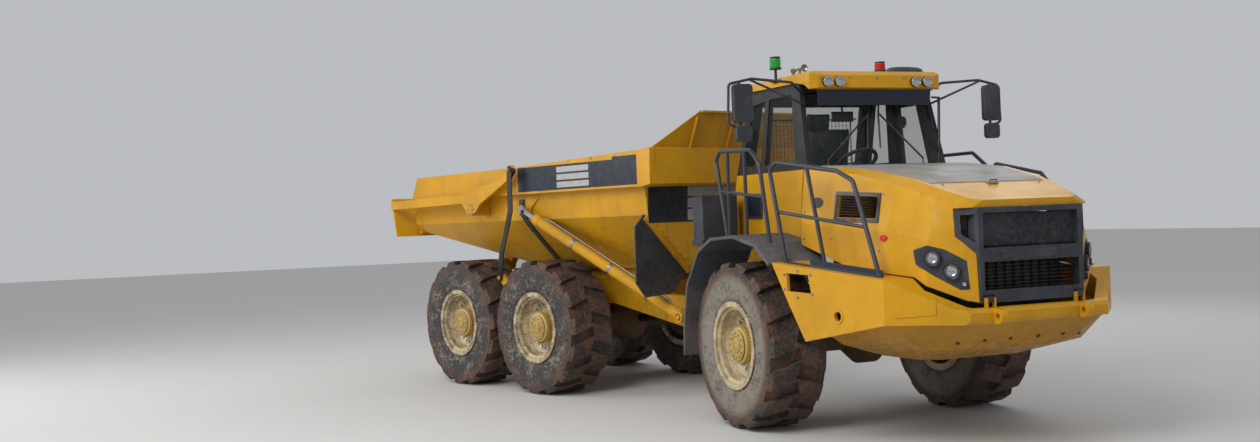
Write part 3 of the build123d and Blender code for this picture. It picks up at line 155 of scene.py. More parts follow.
class Wire:
    """An output of a node tree, which Python's operators extend with Math nodes."""

    def __init__(self, tree: "Graph", socket: bpy.types.NodeSocket) -> None:
        """Keep the tree and the socket."""
        self.tree = tree
        self.socket = socket

    def maths(self, operation: str, first: "Wire | float", second: "Wire | float" = 0.0) -> "Wire":
        """Add a Math node.

        Args:
            operation: the node's operation.
            first: its first input.
            second: its second input.

        Returns:
            The node's output.
        """
        return self.tree.make("ShaderNodeMath", {"operation": operation}, {0: first, 1: second})

    def __add__(self, other: "Wire | float") -> "Wire":
        """Sum."""
        return self.maths("ADD", self, other)

    def __rsub__(self, other: float) -> "Wire":
        """Difference from a number."""
        return self.maths("SUBTRACT", other, self)

    def __mul__(self, other: "Wire | float") -> "Wire":
        """Product."""
        return self.maths("MULTIPLY", self, other)

    def __pow__(self, other: float) -> "Wire":
        """Power."""
        return self.maths("POWER", self, other)

    def __gt__(self, other: "Wire | float") -> "Wire":
        """1 where this is the greater, else 0."""
        return self.maths("GREATER_THAN", self, other)

    def __lt__(self, other: "Wire | float") -> "Wire":
        """1 where this is the smaller, else 0."""
        return self.maths("LESS_THAN", self, other)

    def ramp(self, low: float, high: float) -> "Wire":
        """Step smoothly from 0 to 1.

        Args:
            low: where it is 0; it may be the greater of the two.
            high: where it is 1.

        Returns:
            The step's output.
        """
        start, end, from_low, from_high = (0.0, 1.0, low, high) if low < high else (1.0, 0.0, high, low)
        return self.tree.make(
            "ShaderNodeMapRange", {"interpolation_type": "SMOOTHSTEP"},
            {0: self, 1: from_low, 2: from_high, 3: start, 4: end},
        )


class Graph:
    """A node tree that is built by sockets' names and numbers."""

    def __init__(self, tree: bpy.types.NodeTree) -> None:
        """Keep the tree's nodes and links."""
        self.nodes = tree.nodes
        self.links = tree.links

    def make(self, kind: str, settings: dict | None = None, inputs: dict | None = None,
             output: int | str = 0) -> Wire:
        """Add any node.

        Args:
            kind: the node's type.
            settings: attributes to set first.
            inputs: a value or a Wire for sockets, by name or number; a list links several to one socket.
            output: which output to give back.

        Returns:
            The chosen output.
        """
        node = self.nodes.new(kind)
        for key, value in (settings or {}).items():
            setattr(node, key, value)
        for key, value in (inputs or {}).items():
            for one in value if isinstance(value, list) else [value]:
                self.feed(node.inputs[key], one)
        return Wire(self, node.outputs[output])

    def feed(self, socket: bpy.types.NodeSocket, value: "Wire | float | str | Sequence[float]") -> None:
        """Link a Wire to a socket, or set the socket's own value.

        Args:
            socket: the socket to feed.
            value: the Wire or value; a colour may leave out its alpha.
        """
        if isinstance(value, Wire):
            self.links.new(value.socket, socket)
        elif socket.type == "RGBA" and len(value) == 3:
            socket.default_value = (*value, 1.0)
        else:
            socket.default_value = value


class Tree(Graph):
    """A material's node tree with one Principled shader."""

    def __init__(self, name: str) -> None:
        """Make the material and find its shader.

        Args:
            name: the material's name.
        """
        self.material = bpy.data.materials.new(name)
        self.material.use_nodes = True
        super().__init__(self.material.node_tree)
        self.shader = next(node for node in self.nodes if node.type == "BSDF_PRINCIPLED")

    def mix(self, factor: "Wire | float", first: "Wire | Colour", second: "Wire | Colour") -> Wire:
        """Mix two colours by a factor."""
        return self.make("ShaderNodeMix", {"data_type": "RGBA"}, {0: factor, 6: first, 7: second}, 2)

    def position(self) -> Wire:
        """Object coordinates, which are the parked machine's own."""
        return self.make("ShaderNodeTexCoord", output="Object")

    def placed(self, centre: Vector, turn: float) -> Wire:
        """Object coordinates as seen from a centre, turned back about Z.

        Args:
            centre: the new origin on the parked machine.
            turn: the angle, in radians, by which the piece is turned.

        Returns:
            The vector output.
        """
        moved = self.make("ShaderNodeVectorMath", {"operation": "SUBTRACT"}, {0: self.position(), 1: centre})
        return self.make(
            "ShaderNodeVectorRotate", {"rotation_type": "Z_AXIS"}, {"Vector": moved, "Angle": -turn})

    def split(self, vector: Wire) -> list[Wire]:
        """Take a vector apart.

        Args:
            vector: the vector.

        Returns:
            Its three components.
        """
        node = self.nodes.new("ShaderNodeSeparateXYZ")
        self.feed(node.inputs[0], vector)
        return [Wire(self, socket) for socket in node.outputs]

    def noise(self, scale: float, detail: float = 4.0, rough: float = 0.6, vector: Wire | None = None,
              distortion: float = 0.0) -> Wire:
        """Spread noise from 0 to 1.

        Args:
            scale: how fine it is.
            detail: its layers.
            rough: how strong the finer layers are.
            vector: what it lies on, or else Object coordinates.
            distortion: how far it is stirred.

        Returns:
            The noise.
        """
        return self.make("ShaderNodeTexNoise", {"normalize": True}, {
            "Vector": vector or self.position(), "Scale": scale, "Detail": detail, "Roughness": rough,
            "Distortion": distortion,
        })

    def shade_in_hollows(self, reach: float) -> Wire:
        """1 in corners and under ledges, where ambient shade falls, falling to 0 on open faces; it masks
        painted shade.
        """
        shade = self.make("ShaderNodeAmbientOcclusion", {"samples": 4}, {"Distance": reach}, "AO")
        return shade.ramp(0.85, 0.35)

    def edges(self, radius: float) -> Wire:
        """Find the edges.

        Args:
            radius: how far round an edge to look.

        Returns:
            1 on edges and 0 on flat faces.
        """
        eased = self.make("ShaderNodeBevel", {"samples": 4}, {"Radius": radius})
        true = self.make("ShaderNodeNewGeometry", output="True Normal")
        dot = self.make("ShaderNodeVectorMath", {"operation": "DOT_PRODUCT"}, {0: eased, 1: true}, "Value")
        return dot.ramp(0.99, 0.90)

    def facing_up(self) -> Wire:
        """The height part of the surface's direction."""
        return self.split(self.make("ShaderNodeNewGeometry", output="Normal"))[2]

    def bump(self, height: Wire, strength: float, distance: float, soft_edge: float = 0.004) -> None:
        """Roughen the surface over slightly rounded edges.

        Args:
            height: the relief, from 0 to 1.
            strength: how strongly it shows.
            distance: the relief's depth in metres.
            soft_edge: radius of the rounding in the shading.
        """
        rounded = self.make("ShaderNodeBevel", {"samples": 4}, {"Radius": soft_edge})
        normal = self.make("ShaderNodeBump", {}, {
            "Strength": strength, "Distance": distance, "Height": height, "Normal": rounded,
        })
        self.feed(self.shader.inputs["Normal"], normal)

    def finish(self, **sockets: "Wire | float | Sequence[float]") -> bpy.types.Material:
        """Feed the shader's sockets and give back the material.

        Args:
            sockets: values or Wires by socket name, with _ for a space.

        Returns:
            The finished material.
        """
        for name, value in sockets.items():
            self.feed(self.shader.inputs[name.replace("_", " ")], value)
        return self.material


@dataclass(frozen=True)
class Zone:
    """A box of the unit's straight frame, mirrored about its middle, with another colour of paint."""

    low: Point
    high: Point
    colour: Colour

    def mask(self, axes: list[Wire]) -> Wire:
        """Tell the box from the rest.

        Args:
            axes: the place in the unit's straight frame, with Y as a distance from the middle.

        Returns:
            1 inside the box, else 0.
        """
        inside = None
        for value, low, high in zip(axes, self.low, self.high):
            part = (value > low) * (value < high)
            inside = part if inside is None else inside * part
        return inside


@dataclass(frozen=True)
class Paint:
    """Sprayed paint that has gathered dust, mud and chips in use, with painted shade in its corners and under
    ledges.
    """

    name: str
    colour: Colour
    roughness: float = 0.42
    coat: float = 0.12
    dust: float = 0.08
    mud_height: float = 0.9
    mud_fade: float = 0.75
    mud: float = 0.5
    chips: float = 0.35
    stain: float = 0.30
    chip_colour: Colour = BARE_METAL
    unit: Unit = Unit.FRONT
    zones: tuple[Zone, ...] = ()

    def material(self) -> bpy.types.Material:
        """Build the paint.

        Returns:
            Its material.
        """
        tree = Tree(self.name)
        axes = tree.split(tree.placed(HITCH - PLAN_MIDDLE, self.unit.turn))
        off_middle = tree.make("ShaderNodeMath", {"operation": "ABSOLUTE"}, {0: axes[1]})
        straight = [axes[0] + HITCH.x, off_middle, axes[2]]
        clouds = tree.noise(1.7, 6.0, 0.62)
        grain = tree.noise(14.0, 5.0, 0.65)
        speckle = tree.noise(90.0, 3.0, 0.6)
        darker = tuple(channel * 0.80 for channel in self.colour)
        base = tree.mix(clouds.ramp(0.35, 0.75), self.colour, darker)
        streak = tree.noise(1.0, 5.0, 0.6, tree.make(
            "ShaderNodeMapping", {}, {"Vector": tree.position(), "Scale": (9.0, 9.0, 0.9)}))
        stain = streak.ramp(0.54, 0.76) * grain.ramp(0.34, 0.62) * self.stain
        base = tree.mix(stain, base, RUST_STAIN)
        dust = (tree.facing_up().ramp(0.2, 0.9) * 0.8 + 0.2) * clouds.ramp(0.34, 0.62) * self.dust
        base = tree.mix(dust, base, PAINT_DUST)
        for zone in self.zones:
            worn = tuple(channel * 0.75 + 0.02 for channel in zone.colour)
            base = tree.mix(zone.mask(straight), base, tree.mix(grain.ramp(0.42, 0.68), zone.colour, worn))
        # Mud low down, plus painted shade in corners and under ledges, in one mud-coloured mask.
        low = straight[2].ramp(self.mud_height, self.mud_height - self.mud_fade)
        mud = (low + tree.shade_in_hollows(0.25) * 0.35) * grain.ramp(0.38, 0.60) * self.mud
        base = tree.mix(mud, base, PAINT_MUD_AND_SHADE)
        chipped = tree.edges(0.012) * grain.ramp(0.52, 0.62) * self.chips
        base = tree.mix(chipped, base, self.chip_colour)
        rough = clouds * 0.12 + dust * 0.35 + mud * 0.45 + (self.roughness - 0.06)
        tree.bump(mud * speckle + clouds * 0.05, 0.5, 0.004)
        coat = (1.0 - mud) * self.coat
        return tree.finish(Coat_Roughness=0.18, Specular_IOR_Level=0.3, Base_Color=base, Roughness=rough,
                           Coat_Weight=coat, Metallic=0.0)


@dataclass(frozen=True)
class Moulding:
    """Dark moulded plastic or rubber sheet, dusty and scuffed."""

    name: str
    colour: Colour
    roughness: float = 0.55
    dust: float = 0.35
    mud_height: float = 1.1
    mud_fade: float = 0.6
    texture: float = 260.0

    def material(self) -> bpy.types.Material:
        """Build the plastic.

        Returns:
            Its material.
        """
        tree = Tree(self.name)
        height = tree.split(tree.position())[2]
        clouds = tree.noise(2.6, 6.0, 0.65)
        grain = tree.noise(22.0, 5.0, 0.7)
        pores = tree.noise(self.texture, 2.0, 0.5)
        lighter = tuple(channel * 1.7 + 0.01 for channel in self.colour)
        base = tree.mix(clouds.ramp(0.4, 0.7), self.colour, lighter)
        scuffs = tree.edges(0.010) * grain.ramp(0.42, 0.60) * 0.6
        base = tree.mix(scuffs, base, SCUFF)
        dust = (tree.facing_up().ramp(0.0, 0.9) * 0.7 + 0.3) * grain.ramp(0.36, 0.66) * self.dust
        base = tree.mix(dust, base, PLASTIC_DUST)
        mud = height.ramp(self.mud_height, self.mud_height - self.mud_fade) * grain.ramp(0.40, 0.58) * 0.75
        base = tree.mix(mud, base, PLASTIC_MUD)
        tree.bump(pores * 0.35 + mud * grain, 0.35, 0.002)
        return tree.finish(Base_Color=base, Roughness=dust * 0.3 + mud * 0.3 + self.roughness)


@dataclass(frozen=True)
class Metal:
    """Bare or plated metal."""

    name: str
    colour: Colour
    roughness: float = 0.25
    grime: float = 0.3

    def material(self) -> bpy.types.Material:
        """Build the metal.

        Returns:
            Its material.
        """
        tree = Tree(self.name)
        smears = tree.noise(18.0, 5.0, 0.6)
        dirty = smears.ramp(0.50, 0.72) * self.grime
        base = tree.mix(dirty, self.colour, OILY_GRIME)
        tree.bump(tree.noise(160.0, 2.0, 0.5), 0.08, 0.001, 0.002)
        return tree.finish(Base_Color=base, Metallic=1.0 - dirty, Roughness=dirty * 0.5 + self.roughness)


@dataclass(frozen=True)
class Lens:
    """Clear or tinted glass or plastic, seen through by its alpha."""

    name: str
    colour: Colour
    alpha: float = 0.3
    roughness: float = 0.04
    haze: float = 0.12
    glow: float = 0.0

    def material(self) -> bpy.types.Material:
        """Build the lens.

        Returns:
            Its material.
        """
        tree = Tree(self.name)
        film = tree.noise(5.0, 5.0, 0.65).ramp(0.50, 0.85)
        base = tree.mix(film * 0.4, self.colour, GLASS_FILM)
        if self.glow:
            tree.feed(tree.shader.inputs["Emission Color"], self.colour)
            tree.feed(tree.shader.inputs["Emission Strength"], self.glow)
        return tree.finish(Base_Color=base, Alpha=film * self.haze + self.alpha,
                           Roughness=film * 0.18 + self.roughness)


@dataclass(frozen=True)
class WheelFinish:
    """Rubber or rim paint that is muddy by its distance from the hub."""

    wheel: Wheel
    seed: float
    pale: float
    hub_radius: float = 0.190
    hub_reach: float = 0.07

    def radial(self, tree: Tree) -> tuple[Wire, Wire, Wire]:
        """Distance from the hub's axis, distance outward along it, and the vector from the hub.

        Args:
            tree: the tree that gets the nodes.

        Returns:
            Radius, outward distance and the vector, in metres.
        """
        unit = self.wheel.unit
        vector = tree.placed(unit.place @ Vector(self.wheel.centre), unit.turn)
        x, y, z = tree.split(vector)
        radius = (x * x + z * z) ** 0.5
        return radius, y * float(self.wheel.sign), vector

    def rubber(self) -> bpy.types.Material:
        """Build the tyre: dried clay on tread and shoulder, pale dust on the side wall, dark clay and painted
        shade in the grooves.

        Returns:
            Its material.
        """
        tree = Tree(self.wheel.name)
        radius, _, vector = self.radial(tree)
        shifted = tree.make("ShaderNodeVectorMath", {"operation": "ADD"},
                            {0: vector, 1: (self.seed, self.seed * 2.0, 0.0)})
        lumps = tree.noise(5.5, 7.0, 0.68, shifted, 0.4)
        grain = tree.noise(30.0, 5.0, 0.7, shifted)
        fine = tree.noise(120.0, 3.0, 0.6, shifted)
        base = tree.mix(grain.ramp(0.4, 0.7), RUBBER, WORN_RUBBER)
        wall = radius.ramp(0.72, 0.64)
        patches = lumps * 0.5 + grain * 0.5
        dried = wall * patches.ramp(0.56 - self.pale * 0.25, 0.66 - self.pale * 0.12) * 0.9
        base = tree.mix(dried, base, DRIED_DUST)
        shoulder = radius.ramp(0.60, 0.70)
        clay = shoulder * (lumps * 0.6 + grain * 0.4).ramp(0.42, 0.60) * 0.85
        base = tree.mix(clay, base, CLAY)
        # Dark wet clay and painted shade in the tread's grooves.
        groove_clay_and_shade = tree.shade_in_hollows(0.06)
        base = tree.mix(groove_clay_and_shade * grain.ramp(0.3, 0.6) * 0.5, base, WET_CLAY_AND_SHADE)
        rings = tree.make("ShaderNodeTexWave", {"wave_type": "RINGS", "rings_direction": "Y"}, {
            "Vector": vector, "Scale": 12.0, "Distortion": 0.0})
        relief = clay * lumps + dried * fine * 0.4 + rings * wall * 0.12 + grain * 0.25
        tree.bump(relief, 0.8, 0.012, 0.008)
        return tree.finish(Base_Color=base, Roughness=dried * 0.15 + clay * 0.12 + 0.68)

    def rim(self) -> bpy.types.Material:
        """Build the rim: cream paint under dried mud and painted shade in its hollows, with a yellow hub.

        Returns:
            Its material.
        """
        tree = Tree(self.wheel.name)
        radius, outward, vector = self.radial(tree)
        lumps = tree.noise(7.0, 6.0, 0.66, vector, 0.3)
        grain = tree.noise(34.0, 5.0, 0.7, vector)
        base = tree.mix(lumps.ramp(0.4, 0.7), CREAM, WORN_CREAM)
        hub = (radius < self.hub_radius) * (outward > self.hub_reach)
        base = tree.mix(hub, base, HUB_YELLOW)
        patches = (lumps * 0.5 + grain * 0.5).ramp(0.40, 0.58)
        # Mud towards the rim's edge, plus painted shade in the rim's hollows.
        mud = (radius.ramp(0.20, 0.40) * (1.0 - self.pale * 0.6) + tree.shade_in_hollows(0.12) * 0.9) * patches
        base = tree.mix(mud, base, RIM_MUD_AND_SHADE)
        chips = tree.edges(0.010) * grain.ramp(0.50, 0.62) * 0.6
        base = tree.mix(chips, base, RUST)
        tree.bump(mud * grain, 0.5, 0.006, 0.004)
        return tree.finish(Base_Color=base, Roughness=mud * 0.3 + 0.45)


BAND_ZONES = (
    Zone((-4.40, 1.40, 2.415), (-2.60, 1.60, 2.705), NAVY),
    Zone((-3.62, 1.40, 2.440), (-3.02, 1.60, 2.505), STRIPE),
    Zone((-3.62, 1.40, 2.527), (-3.02, 1.60, 2.592), STRIPE),
    Zone((-3.62, 1.40, 2.614), (-3.02, 1.60, 2.679), STRIPE),
    Zone((-2.60, 1.40, 2.415), (-2.18, 1.60, 2.735), NAVY),
    Zone((-2.203, -0.01, 1.99), (-2.10, 1.30, 2.385), NAVY),
    Zone((-2.203, -0.01, 2.010), (-2.10, 0.72, 2.130), STRIPE),
    Zone((-2.203, -0.01, 2.150), (-2.10, 0.72, 2.255), STRIPE),
    Zone((-2.203, -0.01, 2.275), (-2.10, 0.72, 2.380), STRIPE),
)


@dataclass
class Palette:
    """Every finish of the machine, made once and kept by name."""

    made: dict[str, bpy.types.Material] = field(default_factory=dict)

    def __post_init__(self) -> None:
        """Build the shared finishes."""
        finishes = (
            Paint("cab_yellow", YELLOW, mud_height=1.25),
            Paint("cab_black", YELLOW, mud_height=1.25, zones=(
                Zone((-2.0, -0.01, 2.452), (1.0, 1.2, 3.30), (0.013, 0.014, 0.017)),)),
            # A darker yellow for the downward-facing belly plate: painted shade, with heavier mud and stains.
            Paint("belly_shaded_yellow", (0.50, 0.235, 0.004), coat=0.15, dust=0.1, mud_height=1.22, mud=0.8,
                  stain=0.5, chips=0.1),
            Paint("hub_paint", HUB_YELLOW, roughness=0.5, coat=0.1, dust=0.4, mud_height=1.2, mud=0.4),
            # Pale grey for the plate on the hood's top: a painted reflection of the sky on its glossy paint.
            Paint("painted_reflection_grey", (0.33, 0.33, 0.32), roughness=0.55, coat=0.05, dust=0.3, mud=0.1),
            # Heavy stain on the bin: rust stains, also standing for painted shade on its walls.
            Paint("bin_yellow", YELLOW, roughness=0.5, dust=0.30, mud_height=2.1, mud=0.35, stain=0.55,
                  unit=Unit.REAR, zones=BAND_ZONES),
            Paint("rear_yellow", YELLOW, roughness=0.5, dust=0.3, mud_height=1.3, stain=0.5, unit=Unit.REAR),
            Paint("iron", IRON, roughness=0.7, coat=0.0, dust=0.7, mud_height=1.6, mud=0.9),
            Paint("black_paint", (0.016, 0.018, 0.024), roughness=0.5, coat=0.1, dust=0.15, chips=0.3,
                  chip_colour=(0.16, 0.11, 0.08)),
            Paint("rail_paint", (0.028, 0.036, 0.056), roughness=0.40, coat=0.3, dust=0.08, mud=0.1,
                  stain=0.1),
            Paint("visor_navy", (0.010, 0.014, 0.032), roughness=0.35, coat=0.4, dust=0.05, mud=0.0,
                  stain=0.05, chips=0.1),
            Moulding("dark_plastic", (0.022, 0.026, 0.036), dust=0.14),
            Moulding("fender_plastic", (0.050, 0.056, 0.068), dust=0.35, mud_height=1.5),
            Moulding("sheet_rubber", (0.018, 0.019, 0.022), dust=0.35, mud_height=1.5, texture=60.0),
            Moulding("trim_black", (0.012, 0.012, 0.014), dust=0.12, mud_height=0.2),
            Moulding("seat_cloth", (0.030, 0.032, 0.036), roughness=0.8, dust=0.2, texture=700.0),
            Metal("plated_rod", (0.55, 0.55, 0.56), 0.16),
            Metal("steel", (0.36, 0.35, 0.33), 0.38, 0.6),
            Metal("reflector", (0.62, 0.62, 0.64), 0.10, 0.1),
            Lens("window", (0.030, 0.045, 0.042), 0.15, haze=0.03),
            Lens("clear_lens", (0.30, 0.32, 0.33), 0.22, haze=0.05),
            Lens("red_lens", (0.60, 0.015, 0.008), 0.95, 0.10),
            Lens("green_lens", (0.01, 0.32, 0.045), 0.95, 0.12),
        )
        for finish in finishes:
            self.made[finish.name] = finish.material()

    def __getitem__(self, name: str) -> bpy.types.Material:
        """A finish by its name."""
        return self.made[name]


@dataclass
class CadDresser:
    """Gives every CAD node its finish."""

    palette: Palette
    axle_seed: float = 3.1
    side_seed: float = 1.3
    front_pale: float = 0.95
    rear_pale: float = 0.30
    finishes: dict[str, str] = field(default_factory=lambda: {
        "cab_yellow": "side_skirts bumper cowl cab_roof hood",
        "cab_black": "cab_frame cab_door",
        "belly_shaded_yellow": "belly_plate",
        "bin_yellow": "bin headboard tailgate",
        "rear_yellow": "rear_frame hoist_barrel_right hoist_barrel_left steer_barrel_right steer_barrel_left",
        "iron": "front_frame front_axle mid_axle rear_axle walking_beams hitch engine_block",
        "black_paint": "radiator drive_shaft strap_right strap_left",
        "rail_paint": "handrails",
        "dark_plastic": "deck grille headlamps mirror_right mirror_left",
        "visor_navy": "roof_lamps",
        "fender_plastic": "fenders",
        "sheet_rubber": "stone_guards",
        "seat_cloth": "cab_interior",
        "plated_rod": "hoist_rod_right hoist_rod_left steer_rod_right steer_rod_left",
        "window": "cab_glass door_glass",
    })

    def dress(self) -> None:
        """Put the finishes on the nodes' own material slots."""
        for finish, nodes in self.finishes.items():
            for node in nodes.split():
                self.paint(node, self.palette[finish])
        for wheel in WHEELS:
            seed = list(AXLES).index(wheel.axle) * self.axle_seed + wheel.sign * self.side_seed
            pale = self.front_pale if wheel.unit is Unit.FRONT else self.rear_pale
            finish = WheelFinish(wheel, seed, pale)
            self.paint(wheel.piece("tyre"), finish.rubber())
            self.paint(wheel.piece("rim"), finish.rim())

    @staticmethod
    def paint(node: str, material: bpy.types.Material) -> None:
        """Set every material slot of one node.

        Args:
            node: the CAD node.
            material: its material.
        """
        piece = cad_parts[node]
        if not piece.data.materials:
            piece.data.materials.append(material)
        for slot in piece.material_slots:
            slot.material = material
        LOG.info("dressed %s in %s", node, material.name)


class Recipe(Graph):
    """A Geometry Nodes tree that turns points into repeated hardware."""

    def __init__(self, name: str, sizes: dict[str, float]) -> None:
        """Open a tree with a geometry input, a material input and one named input a size.

        Args:
            name: the tree's name.
            sizes: each size's name and its first value, in metres.
        """
        self.group = bpy.data.node_groups.new(name, "GeometryNodeTree")
        super().__init__(self.group)
        self.size_keys: dict[str, str] = {}
        self.socket("Places", "Geometry")
        self.material_key = self.socket("Finish", "Material").identifier
        for size, value in sizes.items():
            socket = self.socket(size, "Float")
            socket.default_value = value
            self.size_keys[size] = socket.identifier
        self.socket("Hardware", "Geometry", "OUTPUT")
        self.entry = self.nodes.new("NodeGroupInput")
        self.exit = self.nodes.new("NodeGroupOutput")

    def socket(self, name: str, kind: str, way: str = "INPUT") -> bpy.types.NodeTreeInterfaceSocket:
        """Add an input or output to the tree itself."""
        return self.group.interface.new_socket(name, in_out=way, socket_type=f"NodeSocket{kind}")

    def size(self, name: str, factor: float = 1.0) -> Wire:
        """A named size, times a factor."""
        return Wire(self, self.entry.outputs[name]) * factor

    def aimed(self) -> Wire:
        """Rotation that turns the Z axis towards each point's own aim."""
        aim = self.make("GeometryNodeInputNamedAttribute", {"data_type": "FLOAT_VECTOR"}, {"Name": "aim"})
        return self.make("FunctionNodeAlignRotationToVector", {"axis": "Z"}, {"Vector": aim})

    def close(self, shape: Wire) -> None:
        """Put copies on all points, aimed, make them real and give them the finish.

        Args:
            shape: one copy's geometry.
        """
        turn = self.aimed()
        copies = self.make("GeometryNodeInstanceOnPoints", {}, {
            "Points": Wire(self, self.entry.outputs["Places"]), "Instance": shape, "Rotation": turn})
        real = self.make("GeometryNodeRealizeInstances", {}, {"Geometry": copies})
        done = self.make("GeometryNodeSetMaterial", {}, {
            "Geometry": real, "Material": Wire(self, self.entry.outputs["Finish"])})
        self.feed(self.exit.inputs[0], done)

    def cylinder(self, sides: int, radius: Wire, depth: Wire, lift: Wire) -> Wire:
        """Stand a short cylinder upright.

        Args:
            sides: faces around it.
            radius: its radius.
            depth: its height.
            lift: how far its middle is lifted.

        Returns:
            Its geometry.
        """
        body = self.make("GeometryNodeMeshCylinder", {}, {
            "Vertices": sides, "Radius": radius, "Depth": depth})
        up = self.make("ShaderNodeCombineXYZ", {}, {"Z": lift})
        return self.make("GeometryNodeTransform", {}, {"Geometry": body, "Translation": up})


def bolt_recipe() -> Recipe:
    """Draw hexagon bolt heads, each on its washer.

    Returns:
        The tree.
    """
    recipe = Recipe("bolts", {"Head": 0.012, "Height": 0.010})
    head = recipe.cylinder(6, recipe.size("Head"), recipe.size("Height"), recipe.size("Height", 0.72))
    washer = recipe.cylinder(
        14, recipe.size("Head", 1.45), recipe.size("Height", 0.5), recipe.size("Height", 0.05))
    recipe.close(recipe.make("GeometryNodeJoinGeometry", {}, {0: [head, washer]}))
    return recipe


def bar_recipe() -> Recipe:
    """Draw flat bars for slats, louvres, wires and teeth, each laid along its point's aim.

    Returns:
        The tree.
    """
    recipe = Recipe("bars", {"Length": 0.1, "Width": 0.01, "Thickness": 0.003})
    size = recipe.make("ShaderNodeCombineXYZ", {}, {
        "X": recipe.size("Thickness"), "Y": recipe.size("Width"), "Z": recipe.size("Length")})
    recipe.close(recipe.make("GeometryNodeMeshCube", {}, {"Size": size}))
    return recipe


@dataclass(frozen=True)
class Fit:
    """A piece's finish, the body that it rides on, a slot name and its unit."""

    finish: str
    body: str = "front"
    slot: str = "black_metal"
    unit: Unit = Unit.FRONT


